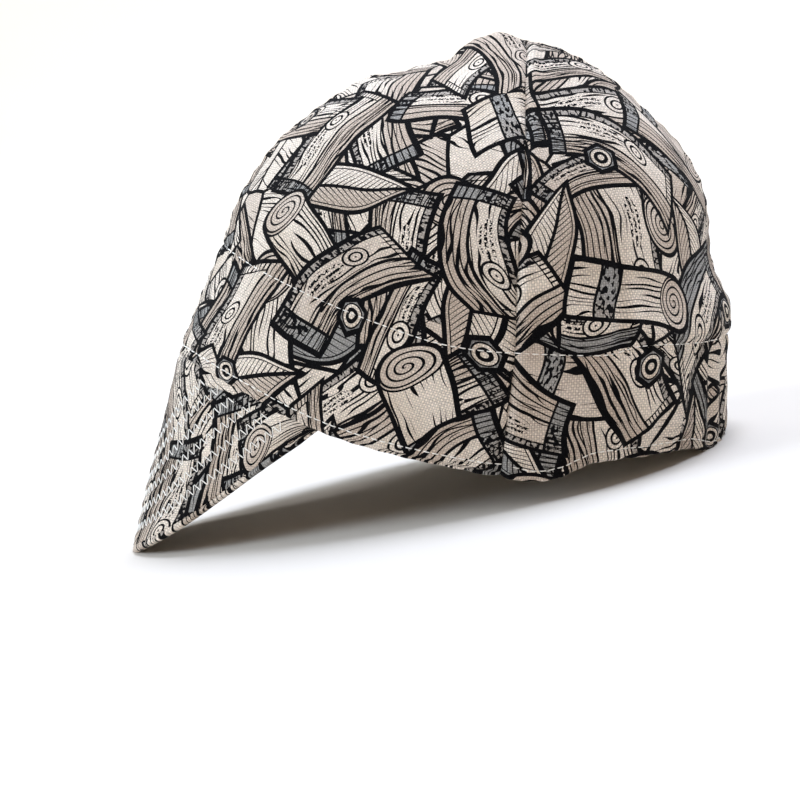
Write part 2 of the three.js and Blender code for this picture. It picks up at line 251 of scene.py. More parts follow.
@dataclass
class CapForm:
    """Shape of the whole cap, worn level, and the way it is laid on the table. Sizes are in mm."""

    crown_wall: float = 1.4
    band_wall: float = 1.2
    bill_ply: float = 1.5
    ply_gap: float = 0.3
    band_gap: float = 0.5
    bill_gap: float = 0.5
    meridian: float = 195.0
    oval_power: float = 0.943
    point_y: float = 24.0
    dip_from_share: float = 0.8
    elastic_from: float = 113.0
    bill_length: float = 80.0
    bill_end_length: float = 0.5
    bill_end_azimuth: float = 58.0
    bill_taper: float = 1.05
    bill_root_share: float = 0.97
    bill_flare_front: float = 0.25
    bill_flare_side: float = 0.1
    bill_narrowing: float = 0.12
    bill_narrow_length: float = 48.0
    table_press: float = 1.2
    slope_azimuth: float = 0.5
    slope_share: float = 0.004
    slope_out: float = 0.01
    edge_azimuth: float = 0.6
    edge_out: float = 0.02

    def crown(self, azimuth: Array, share: Array) -> Array:
        """Points on the crown's plain outer face.

        Args:
            azimuth: degrees from the front.
            share: share of the way down to the rim.

        Returns:
            Positions as worn.
        """
        azimuth, share = np.broadcast_arrays(np.asarray(azimuth, float), np.asarray(share, float))
        around = signed(azimuth)
        angle = np.radians(around)
        forward, sideways = np.cos(angle), np.sin(angle)
        shares = column(SECTIONS, "share")

        def read(name: str) -> Array:
            """One column of the sections at these shares."""
            return along(shares, column(SECTIONS, name), share)

        reach = np.abs(forward) ** self.oval_power
        end_y = np.where(forward > 0, read("front_y"), read("back_y"))
        end_z = np.where(forward > 0, read("front_z"), read("back_z"))
        dip = along(column(RIM_DIPS, "azimuth"), column(RIM_DIPS, "dip"), np.abs(around))
        x = read("side_x") * np.sign(sideways) * np.abs(sideways) ** self.oval_power
        y = read("seam_y") + (end_y - read("seam_y")) * reach
        z = read("side_z") + (end_z - read("side_z")) * forward**2
        return np.stack([x, y, z - dip * smooth_step(share, self.dip_from_share, 1.0)], axis=-1)

    def crown_out(self, azimuth: Array, share: Array) -> Array:
        """Unit vectors out of the crown's plain outer face, from its slopes across and down.

        Args:
            azimuth: degrees from the front.
            share: share of the way down to the rim.

        Returns:
            The way out at each place.
        """
        turn, step = self.slope_azimuth, self.slope_share
        share = np.clip(share, step, 1 - step)
        across = self.crown(azimuth + turn, share) - self.crown(azimuth - turn, share)
        down = self.crown(azimuth, share + step) - self.crown(azimuth, share - step)
        return unit(np.cross(down, across))

    def from_point(self, points: Array) -> Array:
        """Level distance from the line through the crown's point, and at least 1 mm."""
        return np.maximum(np.hypot(points[..., 0], points[..., 1] - self.point_y), 1.0)

    def band_share(self, azimuth: Array) -> Array:
        """Share at which the sweatband's top seam runs."""
        return along(column(BAND_LINE, "azimuth"), column(BAND_LINE, "share"), np.abs(signed(azimuth)))

    def bill_reach(self, azimuth: Array) -> Array:
        """Length of the bill from the rim to its edge.

        Args:
            azimuth: degrees from the front of the rim.

        Returns:
            Lengths in mm, the longest in front.
        """
        turn = np.radians(90 * np.abs(azimuth) / self.bill_end_azimuth)
        share = np.maximum(np.cos(turn), 0) ** self.bill_taper
        return self.bill_end_length + (self.bill_length - self.bill_end_length) * share

    def bill(self, azimuth: Array, out: Array) -> Array:
        """Points on the bill's plain upper face.

        Args:
            azimuth: degrees from the front of the rim.
            out: share of the way to the bill's edge.

        Returns:
            Positions as worn.
        """
        azimuth, out = np.broadcast_arrays(np.asarray(azimuth, float), np.asarray(out, float))
        front = np.cos(np.radians(90 * azimuth / self.bill_end_azimuth)) ** 2
        flare = self.bill_flare_side + (self.bill_flare_front - self.bill_flare_side) * front
        away = self.crown_out(azimuth, self.bill_root_share)
        away[..., 2] = 0
        way = unit(away) * flare[..., None]
        way[..., 2] = -1
        length = self.bill_reach(azimuth)
        points = self.crown(azimuth, 1.0) + unit(way) * (self.bill_gap + out * length)[..., None]
        points[..., 0] *= 1 - self.bill_narrowing * out * smooth_step(length, 0, self.bill_narrow_length)
        return points

    def bill_out(self, azimuth: Array, out: Array) -> Array:
        """Unit vectors out of the bill's plain upper face, from its slopes across and down.

        Args:
            azimuth: degrees from the front of the rim.
            out: share of the way to the bill's edge.

        Returns:
            The way out at each place.
        """
        turn, step = self.slope_azimuth, self.slope_out
        limit = self.bill_end_azimuth - self.edge_azimuth
        azimuth, out = np.clip(azimuth, -limit, limit), np.clip(out, self.edge_out, 1 - self.edge_out)
        across = self.bill(azimuth + turn, out) - self.bill(azimuth - turn, out)
        down = self.bill(azimuth, out + step) - self.bill(azimuth, out - step)
        return unit(np.cross(down, across))

    def lay_down(self, points: Array, pressed: bool = True) -> Array:
        """Turns points of the worn cap onto its bill and back rim, as it lies on the table.

        Args:
            points: positions as worn, in mm.
            pressed: whether cloth under the table's height is pressed flat.

        Returns:
            Positions in the frame of the solids, in metres.
        """
        depth = 2 * self.bill_ply + self.ply_gap
        zero, one = np.zeros(1), np.ones(1)
        upper_tip = self.bill(zero, one)[0]
        tip = upper_tip - self.bill_out(zero, one)[0] * depth
        back = self.crown(np.array([180.0]), one)[0]
        tilt = math.atan2(back[2] - tip[2], back[1] - tip[1])
        turn = np.array([
            [1, 0, 0],
            [0, math.cos(tilt), math.sin(tilt)],
            [0, -math.sin(tilt), math.cos(tilt)],
        ])
        table = (turn @ tip)[2] + self.table_press
        shift_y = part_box("bill_upper")[0][1] / MM - (turn @ upper_tip)[1]
        laid = points @ turn.T + np.array([0, shift_y, -table])
        if pressed:
            laid[..., 2] = np.maximum(laid[..., 2], 0)
        return laid * MM


@dataclass(frozen=True)
class Swing:
    """A sine that makes the gathers uneven: its height, its radians over half the back, and its starts."""

    height: float
    rate: float
    left_start: float
    right_start: float

    def at(self, turn: Array, right: Array) -> Array:
        """The sine's value along the gathers of each side."""
        return self.height * np.sin(self.rate * turn + np.where(right, self.right_start, self.left_start))


@dataclass(frozen=True)
class Puckers:
    """Small waves along a seam: degrees from one to the next, and how unevenly they follow."""

    pitch: float
    wander: float = 0.0
    wander_over: float = 1.0

    def wave(self, azimuth: Array) -> Array:
        """The waves' height from -1 to 1."""
        return np.sin(2 * np.pi * azimuth / self.pitch + self.wander * np.sin(azimuth / self.wander_over))


@dataclass
class Gathers:
    """Folds that the elastic draws up behind. Heights are in mm and places down the crown in shares."""

    form: CapForm
    count: int = 7
    height: float = 1.8
    fullness: float = 0.78
    unevenness: Swing = Swing(0.22, 11.3, 1.3, 3.0)
    spacing: tuple[Swing, ...] = (Swing(0.022, 9.1, 0.0, 1.7), Swing(0.014, 23.7, 0.0, 3.4))
    lean: Swing = Swing(0.10, 7.3, 0.0, 1.7)
    start_before: float = 3.0
    start_after: float = 6.0
    fade_above: float = 0.07
    full_below: float = 0.025
    seam_hold: float = 0.6
    hold_width: float = 0.013
    seam_sink: float = 0.45
    sink_width: float = 0.016

    def heights(self, azimuth: Array, share: Array) -> Array:
        """Folds between the elastic's two seams and a little above them.

        Args:
            azimuth: degrees from the front.
            share: share of the way down to the rim.

        Returns:
            Heights in mm.
        """
        first = self.form.elastic_from
        around, right = np.abs(signed(azimuth)), signed(azimuth) < 0
        turn = (around - first) / (180 - first)
        below = share - self.form.band_share(azimuth)
        uneven = turn + sum(swing.at(turn, right) for swing in self.spacing)
        place = uneven + below * self.lean.at(turn, right)
        ripple = 0.5 - 0.5 * np.cos(2 * np.pi * self.count * place)
        strength = self.fullness + self.unevenness.at(turn, right)
        drawn = smooth_step(around, first - self.start_before, first + self.start_after)
        held = 1 - self.seam_hold * bell(below, self.hold_width)
        down = smooth_step(below, -self.fade_above, self.full_below) * held
        sunk = self.seam_sink * bell(below, self.sink_width)
        return drawn * (self.height * ripple * strength * down - sunk)


@dataclass
class ClothRelief:
    """Folds, seams, gathers and slack of the cloth, as heights in mm above the plain form."""

    form: CapForm
    seed: int = 7
    wave_count: int = 7
    wave_lengths: tuple[float, float] = (34, 85)
    slack: float = 0.2
    slack_from: float = 0.02
    slack_full: float = 0.2
    banded_slack: float = 0.5
    banded_least: float = -0.35
    banded_most: float = 0.9
    slack_fade: float = 0.06
    crease_fade: float = 0.03
    banded_crease: float = 0.15
    edge_fold: float = 0.35
    edge_fade: float = 0.04
    seam_groove: float = 1.1
    groove_width: float = 0.8
    seam_puff: float = 0.55
    puff_away: float = 3.2
    puff_width: float = 2.0
    ear_ridge: float = 0.8
    seam_from: float = 3.0
    seam_full: float = 14.0
    pucker: float = 0.32
    pucker_pitch: float = 8.5
    pucker_width: float = 6.0
    stitch_dent: float = 0.5
    band_puckers: Puckers = Puckers(3.9, 1.3, 9.0)
    band_pucker_width: float = 5.0
    band_dent_width: float = 1.0
    hem_stitch: float = 2.7
    hem_puckers: Puckers = Puckers(4.3, 1.0, 7.0)
    hem_pucker_width: float = 4.5
    hem_dent_width: float = 0.9
    hem_fold: float = 0.35
    hem_depth: float = 9.5
    hem_step: float = 2.0
    waves: Array = field(init=False)
    gathers: Gathers = field(init=False)

    def __post_init__(self) -> None:
        """Draws the directions and phases of the cloth's slow waves once."""
        rng = np.random.default_rng(self.seed)
        lengths = rng.uniform(*self.wave_lengths, self.wave_count)
        ways = unit(rng.normal(size=(self.wave_count, 3)))
        phases = rng.uniform(0, 2 * np.pi, (self.wave_count, 1))
        self.waves = np.concatenate([ways * (2 * np.pi / lengths)[:, None], phases], axis=1)
        self.gathers = Gathers(self.form)

    def slow_waves(self, points: Array) -> Array:
        """Uneven slack of the cloth at places on it."""
        return self.slack * np.sin(points @ self.waves[:, :3].T + self.waves[:, 3]).sum(axis=-1)

    def slow(self, points: Array, azimuth: Array, share: Array) -> Array:
        """Uneven slack of the crown, held nearly flat where the sweatband lies behind it.

        Args:
            points: places on the plain crown, in mm.
            azimuth: their degrees from the front.
            share: their shares of the way from the top to the rim.

        Returns:
            Heights in mm.
        """
        band = self.form.band_share(azimuth)
        free = self.slow_waves(points) * smooth_step(share, self.slack_from, self.slack_full)
        banded = smooth_step(share, band - self.slack_fade, band)
        held = np.clip(self.banded_slack * free, self.banded_least, self.banded_most)
        return free * (1 - banded) + held * banded

    def stand(self, azimuth: Array, share: Array) -> Array:
        """Broad shape that the sewn cloth takes off its plain form.

        Args:
            azimuth: degrees from the front.
            share: share of the way down to the rim.

        Returns:
            Heights in mm.
        """
        forward = np.cos(np.radians(azimuth))
        shares = column(STANDS, "share")
        front, side, back = (along(shares, column(STANDS, name), share) for name in ("front", "side", "back"))
        return side + (np.where(forward > 0, front, back) - side) * forward**2

    def folds(self, azimuth: Array, share: Array) -> Array:
        """Ridges and creases, with creases held shallow where the sweatband lies behind them.

        Args:
            azimuth: degrees from the front.
            share: share of the way down to the rim.

        Returns:
            Heights in mm, below 0 in a crease.
        """
        around, band = np.abs(signed(azimuth)), self.form.band_share(azimuth)
        height = np.zeros(np.broadcast(azimuth, share).shape)
        for fold in FOLDS:
            across = (around - fold.azimuth - fold.lean * (share - fold.share)) / fold.spread
            down = (share - fold.share) / fold.run
            height = height + fold.height * np.exp(-0.5 * (across**2 + down**2))
        banded = smooth_step(share, band - self.crease_fade, band)
        return np.maximum(height, 0) + np.minimum(height, 0) * (1 - (1 - self.banded_crease) * banded)

    def reverse(self, points: Array, azimuth: Array, share: Array) -> Array:
        """Height that the cloth's reverse takes from its broad shape, its slack and its creases."""
        slow = np.minimum(self.slow(points, azimuth, share), 0)
        return self.stand(azimuth, share) + slow + np.minimum(self.folds(azimuth, share), 0)

    def crown(self, azimuth: Array, share: Array) -> Array:
        """Height of the crown's outer face above its plain form.

        Args:
            azimuth: degrees from the front.
            share: share of the way down to the rim.

        Returns:
            Heights in mm.
        """
        points = self.form.crown(azimuth, share)
        height = self.gathers.heights(azimuth, share) + self.folds(azimuth, share)
        at_edge = smooth_step(1 - share, 0, self.edge_fade)
        height = height * (self.edge_fold + (1 - self.edge_fold) * at_edge)
        height = height + self.stand(azimuth, share) + self.slow(points, azimuth, share)
        height = height + self.band_seam(azimuth, share) + self.hem(azimuth, share)
        return height + self.gore_seams(points, np.abs(signed(azimuth)), share)

    def gore_seams(self, points: Array, around: Array, share: Array) -> Array:
        """Groove of each seam between gores, the puff beside it and its puckers.

        Over the ear the back gore's edge stands up as a ridge, and the front gore's lies flat.

        Args:
            points: places on the plain crown, in mm.
            around: their degrees from the front, alike on both sides.
            share: their shares of the way from the top to the rim.

        Returns:
            Heights in mm.
        """
        radius = self.form.from_point(points)
        arc = share * self.form.meridian
        height = np.zeros_like(radius)
        for seam in SEAM_AZIMUTHS:
            away = np.radians(around - seam) * radius
            ridge = self.ear_ridge * np.sign(away) * (seam == EAR_AZIMUTH)
            beside = bell(np.abs(away) - self.puff_away, self.puff_width) * (1 + ridge)
            wave = np.sin(2 * np.pi * arc / self.pucker_pitch + seam)
            puckers = self.pucker * wave * bell(away, self.pucker_width)
            near = smooth_step(radius, self.seam_from, self.seam_full)
            height += near * (self.seam_puff * beside + puckers)
            height -= self.seam_groove * bell(away, self.groove_width)
        return height

    def band_seam(self, azimuth: Array, share: Array) -> Array:
        """Dent of the sweatband's top seam and the puckers that its stitches draw.

        Args:
            azimuth: degrees from the front.
            share: share of the way down to the rim.

        Returns:
            Heights in mm.
        """
        below = (share - self.form.band_share(azimuth)) * self.form.meridian
        puckers = self.pucker * self.band_puckers.wave(azimuth) * bell(below, self.band_pucker_width)
        return puckers - self.stitch_dent * bell(below, self.band_dent_width)

    def hem(self, azimuth: Array, share: Array) -> Array:
        """The hem's doubled cloth, with the dent of its stitches near the edge.

        Args:
            azimuth: degrees from the front.
            share: share of the way down to the rim.

        Returns:
            Heights in mm.
        """
        up = (1 - share) * self.form.meridian
        doubled = self.hem_fold * smooth_step(-up, -self.hem_depth - self.hem_step, -self.hem_depth)
        away = up - self.hem_stitch
        puckers = self.pucker * self.hem_puckers.wave(azimuth) * bell(away, self.hem_pucker_width)
        return doubled + puckers - self.stitch_dent * bell(away, self.hem_dent_width)


def add(tree: Tree, kind: str, inputs: dict | tuple | list = (), **settings: object) -> Node:
    """Adds one shader node.

    Args:
        tree: the node tree to add to.
        kind: the node's type without ShaderNode before it, then its operation where it has one.
        inputs: values, nodes or sockets, in the order of the node's inputs or by input name or number.
        settings: the node's own options.

    Returns:
        The new node.
    """
    kind, _, operation = kind.partition(" ")
    node = tree.nodes.new("ShaderNode" + kind)
    if operation:
        node.operation = operation
    for name, value in settings.items():
        setattr(node, name, value)
    for key, value in inputs.items() if isinstance(inputs, dict) else enumerate(inputs):
        if isinstance(value, Node):
            value = value.outputs[0]
        if isinstance(value, Socket):
            tree.links.new(value, node.inputs[key])
        else:
            node.inputs[key].default_value = value
    return node


def linear(colour: str) -> tuple[float, float, float, float]:
    """Turns an sRGB colour to linear light.

    Args:
        colour: the colour as #RRGGBB.

    Returns:
        Red, green, blue and an alpha of 1.
    """
    parts = [int(colour[i : i + 2], 16) / 255 for i in (1, 3, 5)]
    spread = [c / 12.92 if c <= 0.04045 else ((c + 0.055) / 1.055) ** 2.4 for c in parts]
    return (*spread, 1.0)


@dataclass(frozen=True)
class PrintLayer:
    """One layer of the print: which motif repeats, how far apart, and how the layer lies, in mm."""

    motif: Motif
    cell: float
    turn: float
    shift_x: float
    shift_y: float
    wander: float
    half_length: float
    half_width: float


PRINT_LAYERS = tuple(PrintLayer(*row) for row in (
    (Motif.BOARDS, 70, 12, 0.1, 0.4, 5, 35, 16), (Motif.LEAF, 66, 71, 0.6, 0.2, 7, 33, 12),
    (Motif.ROLL, 74, 33, 0.3, 0.8, 8, 30, 13), (Motif.BOARDS, 76, 52, 0.9, 0.5, 8, 31, 13),
    (Motif.BOARDS, 64, 20, 0.4, 0.6, 8, 25, 8), (Motif.LEAF, 84, 8, 0.7, 0.1, 9, 32, 11),
    (Motif.BOARDS, 80, 96, 0.2, 0.7, 9, 29, 12), (Motif.ROLL, 88, 118, 0.4, 0.3, 10, 27, 11),
    (Motif.BOARDS, 92, 41, 0.5, 0.9, 12, 29, 12), (Motif.NUT, 82, 27, 0.15, 0.35, 24, 6, 6),
))


@dataclass(frozen=True)
class Pen:
    """A brush pen: the distance between its strokes, and half the width of the widest, in mm."""

    pitch: float
    weight: float


@dataclass(frozen=True)
class Graver:
    """Marks that the woodcut is drawn with. Stretches are in noise per mm, along and across a motif."""

    outline: float = 1.35
    outline_out: float = 0.45
    own_step: float = 9.0
    grain_stretch: tuple[float, float] = (0.045, 0.13)
    grain_drift: float = 9.0
    swell_rise: float = 5.5
    swell_fall: float = 2.35
    hatch_stretch: tuple[float, float] = (0.9, 0.42)
    hatch_cut: float = 0.53
    peck_stretch: tuple[float, float] = (1.15, 0.95)
    peck_cut: float = 0.48
    peck_row: float = 1.9
    peck_half: float = 0.58
    dark_side: float = 0.8
    full_from: float = 0.5

    def uneven(self, tree: Tree, spot: Node, stretch: tuple[float, float]) -> Node:
        """Noise stretched over a motif, which differs from one motif to the next.

        Args:
            tree: the material's nodes.
            spot: place in the motif, its number as Z.
            stretch: noise per mm, along and across the motif.

        Returns:
            The noise node.
        """
        stretched = add(tree, "VectorMath MULTIPLY", (spot, (*stretch, self.own_step)))
        return add(tree, "TexNoise", {"Vector": stretched, "Scale": 1.0, "Detail": 1.0})

    def strokes(self, tree: Tree, spot: Node, across: Node | Socket, pen: Pen) -> Node:
        """Long strokes that swell and taper, as a brush pen draws wood grain.

        Args:
            tree: the material's nodes.
            spot: place in the motif, its number as Z.
            across: place across the strokes in mm.
            pen: how far apart and how thick the strokes are.

        Returns:
            1 on a stroke and 0 beside it.
        """
        noise = self.uneven(tree, spot, self.grain_stretch)
        parts = add(tree, "SeparateXYZ", (noise.outputs["Color"],))
        drift = add(tree, "Math MULTIPLY_ADD", (parts.outputs[0], self.grain_drift, across))
        stripe = add(tree, "Math PINGPONG", (drift, pen.pitch / 2))
        rise, fall = pen.weight * self.swell_rise, pen.weight * self.swell_fall
        swell = add(tree, "Math MULTIPLY_ADD", (parts.outputs[1], rise, -fall))
        swell = add(tree, "Math MINIMUM", (swell, pen.weight))
        return add(tree, "Math LESS_THAN", (stripe, swell))

    def hatching(self, tree: Tree, spot: Node) -> Node:
        """Short broken marks, as a graver shades a dark patch."""
        noise = self.uneven(tree, spot, self.hatch_stretch)
        return add(tree, "Math GREATER_THAN", (noise, self.hatch_cut))

    def pecks(self, tree: Tree, spot: Node, across: Node | Socket) -> Node:
        """Close rows of tiny marks, as bark beetles leave them.

        Args:
            tree: the material's nodes.
            spot: place in the motif, its number as Z.
            across: place across the rows in mm.

        Returns:
            1 on a mark and 0 beside it.
        """
        noise = self.uneven(tree, spot, self.peck_stretch)
        mark = add(tree, "Math GREATER_THAN", (noise, self.peck_cut))
        row_wave = add(tree, "Math PINGPONG", (across, self.peck_row / 2))
        in_row = add(tree, "Math LESS_THAN", (row_wave, self.peck_half))
        return add(tree, "Math MULTIPLY", (mark, in_row))

    def inked(self, tree: Tree, fill: Node, lines: Node, across: Node | Socket, width: float) -> Node:
        """A fill that darkens to one side, with ink lines drawn over it.

        Args:
            tree: the material's nodes.
            fill: the fill's tone.
            lines: 1 on an ink line.
            across: place across the motif in mm.
            width: half the motif's width in mm.

        Returns:
            The tone, which is 0 on a line.
        """
        shade = add(tree, "MapRange", (across, -width, width * self.full_from, self.dark_side, 1.0))
        bare = add(tree, "Math SUBTRACT", (1.0, lines))
        toned = add(tree, "Math MULTIPLY", (fill, shade))
        return add(tree, "Math MULTIPLY", (toned, bare))


@dataclass(frozen=True)
class MotifPlace:
    """Place in one motif, along it and across it in mm, with what the motif is drawn by.

    The chance is the motif's own number from 0 to 1, and the plan gives its size.
    """

    tree: Tree
    x: Node | Socket
    y: Node | Socket
    chance: Socket
    plan: PrintLayer
    graver: Graver


@dataclass(frozen=True)
class Leaf:
    """A pointed leaf with a midrib, side veins and one darker half. Sizes are in mm."""

    midrib: float = 0.75
    vein: float = 0.34
    vein_root: float = 1.25
    vein_slant: float = 1.3
    vein_pitch: float = 3.0
    vein_end: float = 2.4
    margin: float = 2.5
    margin_half: float = 0.24
    grey_until: float = 0.25
    grey: float = 0.44
    blush: float = 0.68

    def draw(self, at: MotifPlace) -> Drawn:
        """Draws the leaf.

        Args:
            at: place in the leaf.

        Returns:
            The tone, and the distance outside the leaf's edge in mm.
        """
        tree, graver = at.tree, at.graver
        width, length = at.plan.half_width, at.plan.half_length
        off = add(tree, "Math ABSOLUTE", (at.y,))
        square = add(tree, "Math MULTIPLY", (at.x, at.x))
        edge = add(tree, "Math MULTIPLY_ADD", (square, -width / length**2, width))
        outside = add(tree, "Math SUBTRACT", (off, edge))
        midrib = add(tree, "Math LESS_THAN", (off, self.midrib))
        slant = add(tree, "Math MULTIPLY_ADD", (off, -self.vein_slant, at.x))
        vein_wave = add(tree, "Math PINGPONG", (slant, self.vein_pitch / 2))
        root = self.vein * self.vein_root
        taper = add(tree, "Math MULTIPLY_ADD", (off, -self.vein / width, root))
        veins = add(tree, "Math LESS_THAN", (vein_wave, taper))
        inside = add(tree, "Math LESS_THAN", (outside, -self.vein_end))
        lines = add(tree, "Math MULTIPLY", (veins, inside))
        margin = add(tree, "Math COMPARE", (outside, -self.margin, self.margin_half))
        for line in (margin, midrib):
            lines = add(tree, "Math MAXIMUM", (lines, line))
        upper = add(tree, "Math GREATER_THAN", (at.y, 0.0))
        warm = add(tree, "Math GREATER_THAN", (at.chance, self.grey_until))
        dark = add(tree, "Math MULTIPLY_ADD", (warm, self.blush - self.grey, self.grey))
        fill = add(tree, "Math MAXIMUM", (dark, upper))
        return graver.inked(tree, fill, lines, at.y, width), outside


@dataclass(frozen=True)
class Boards:
    """A stack of sawn boards: a grained top with a knot, layered edges and a hatched end.

    Sizes are in mm. A pair of shares is along and across the stack, of its half length and half width.
    """

    lean: float = 0.55
    top_pen: Pen = Pen(2.4, 0.48)
    edge_pen: Pen = Pen(2.1, 0.45)
    side_share: float = 0.16
    end_depth: float = 6.5
    bark_width: float = 2.3
    rung_width: float = 2.6
    rung_pitch: float = 1.7
    thin_line: float = 0.3
    knot_share: tuple[float, float] = (0.3, 0.34)
    knot_squeeze: float = 0.72
    knot_pitch: float = 1.9
    knot_line: float = 0.36
    knot_radius: float = 4.1
    tracks_share: tuple[float, float] = (-0.22, 0.36)
    tracks_squeeze: tuple[float, float] = (0.11, 0.34)
    layer_pitch: float = 2.3
    layer_line: float = 0.26
    side_line: float = 0.45
    end_line: float = 0.5
    grey_side_until: float = 0.12
    grey_side: float = 0.46
    blush_side: float = 0.68
    blush_top_from: float = 0.93
    blush_top: float = 0.7
    bark_tone: float = 0.47
    end_tone: float = 0.46

    def draw(self, at: MotifPlace) -> Drawn:
        """Draws the stack.

        Args:
            at: place in the stack before it leans.

        Returns:
            The tone, and the distance outside the stack's edge in mm.
        """
        tree, graver = at.tree, at.graver
        width, length, y = at.plan.half_width, at.plan.half_length, at.y
        lean = add(tree, "Math MULTIPLY_ADD", (at.chance, 2 * self.lean, -self.lean))
        x = add(tree, "Math MULTIPLY_ADD", (y, lean, at.x))
        far = add(tree, "Math ABSOLUTE", (x,))
        off = add(tree, "Math ABSOLUTE", (y,))
        past_end = add(tree, "Math SUBTRACT", (far, length))
        past_side = add(tree, "Math SUBTRACT", (off, width))
        outside = add(tree, "Math MAXIMUM", (past_end, past_side))
        spot = add(tree, "CombineXYZ", (x, y, at.chance))
        marks = graver.hatching(tree, spot)
        side_at, end_at = -self.side_share * width, self.end_depth - length
        on_top = add(tree, "Math GREATER_THAN", (y, side_at))
        at_end = add(tree, "Math LESS_THAN", (x, end_at))
        top_lines, grey_bark = self.top(at, spot, x, marks)
        edges = graver.strokes(tree, spot, y, self.edge_pen)
        layer_wave = add(tree, "Math PINGPONG", (y, self.layer_pitch / 2))
        layers = add(tree, "Math LESS_THAN", (layer_wave, self.layer_line))
        edges = add(tree, "Math MAXIMUM", (edges, layers))
        lines = add(tree, "Mix", {0: on_top, 2: edges, 3: top_lines})
        side_line = add(tree, "Math COMPARE", (y, side_at, self.side_line))
        lines = add(tree, "Math MAXIMUM", (lines, side_line))
        end_lines = add(tree, "Math MULTIPLY", (marks, on_top))
        end_lines = add(tree, "Math MAXIMUM", (end_lines, edges))
        lines = add(tree, "Mix", {0: at_end, 2: lines, 3: end_lines})
        end_line = add(tree, "Math COMPARE", (x, end_at, self.end_line))
        lines = add(tree, "Math MAXIMUM", (lines, end_line))
        side_warm = add(tree, "Math GREATER_THAN", (at.chance, self.grey_side_until))
        side_rise = self.blush_side - self.grey_side
        fill = add(tree, "Math MULTIPLY_ADD", (side_warm, side_rise, self.grey_side))
        top_warm = add(tree, "Math GREATER_THAN", (at.chance, self.blush_top_from))
        top = add(tree, "Math MULTIPLY_ADD", (top_warm, self.blush_top - 1.0, 1.0))
        top = add(tree, "Mix", {0: grey_bark, 2: top, 3: self.bark_tone})
        for where, tone in ((on_top, top), (at_end, self.end_tone)):
            fill = add(tree, "Mix", {0: where, 2: fill, 3: tone})
        return graver.inked(tree, fill, lines, y, width), outside

    def top(self, at: MotifPlace, spot: Node, x: Node, marks: Node) -> Drawn:
        """Draws the top board: its grain, beetle tracks, strip of bark, far end's rungs and knot.

        Args:
            at: place in the stack before it leans.
            spot: place in the leaning stack, with the stack's own number as Z.
            x: place along the leaning stack in mm.
            marks: 1 on the hatching of the bark.

        Returns:
            1 on a line, and 1 on the strip of bark outside the knot.
        """
        tree, graver, y = at.tree, at.graver, at.y
        width, length = at.plan.half_width, at.plan.half_length
        bark_at = width - graver.outline - self.bark_width
        in_bark = add(tree, "Math GREATER_THAN", (y, bark_at))
        bark_line = add(tree, "Math COMPARE", (y, bark_at, self.thin_line))
        knot_at = (length * self.knot_share[0], width * self.knot_share[1], 0)
        knot_far = self.oval(tree, spot, knot_at, (self.knot_squeeze, 1.0, 0))
        knot_wave = add(tree, "Math PINGPONG", (knot_far, self.knot_pitch / 2))
        knot_rings = add(tree, "Math LESS_THAN", (knot_wave, self.knot_line))
        in_knot = add(tree, "Math LESS_THAN", (knot_far, self.knot_radius))
        tracks = graver.pecks(tree, spot, y)
        tracks_at = (length * self.tracks_share[0], width * self.tracks_share[1], 0)
        tracks_far = self.oval(tree, spot, tracks_at, (*self.tracks_squeeze, 0))
        in_tracks = add(tree, "Math LESS_THAN", (tracks_far, 1.0))
        lines = graver.strokes(tree, spot, y, self.top_pen)
        for where, drawn in ((in_tracks, tracks), (in_bark, marks)):
            lines = add(tree, "Mix", {0: where, 2: lines, 3: drawn})
        lines = add(tree, "Math MAXIMUM", (lines, bark_line))
        far_at = length - graver.outline - self.rung_width
        rung_wave = add(tree, "Math PINGPONG", (y, self.rung_pitch / 2))
        rungs = add(tree, "Math LESS_THAN", (rung_wave, self.thin_line))
        past_far = add(tree, "Math GREATER_THAN", (x, far_at))
        lines = add(tree, "Mix", {0: past_far, 2: lines, 3: rungs})
        far_line = add(tree, "Math COMPARE", (x, far_at, self.thin_line))
        lines = add(tree, "Math MAXIMUM", (lines, far_line))
        lines = add(tree, "Mix", {0: in_knot, 2: lines, 3: knot_rings})
        outside_knot = add(tree, "Math GREATER_THAN", (knot_far, self.knot_radius))
        return lines, add(tree, "Math MULTIPLY", (in_bark, outside_knot))

    @staticmethod
    def oval(tree: Tree, spot: Node, centre: tuple, squeeze: tuple) -> Socket:
        """Distance from a place in the stack, squeezed along it and across it."""
        flat = add(tree, "VectorMath MULTIPLY", (add(tree, "VectorMath SUBTRACT", (spot, centre)), squeeze))
        return add(tree, "VectorMath LENGTH", (flat,)).outputs["Value"]


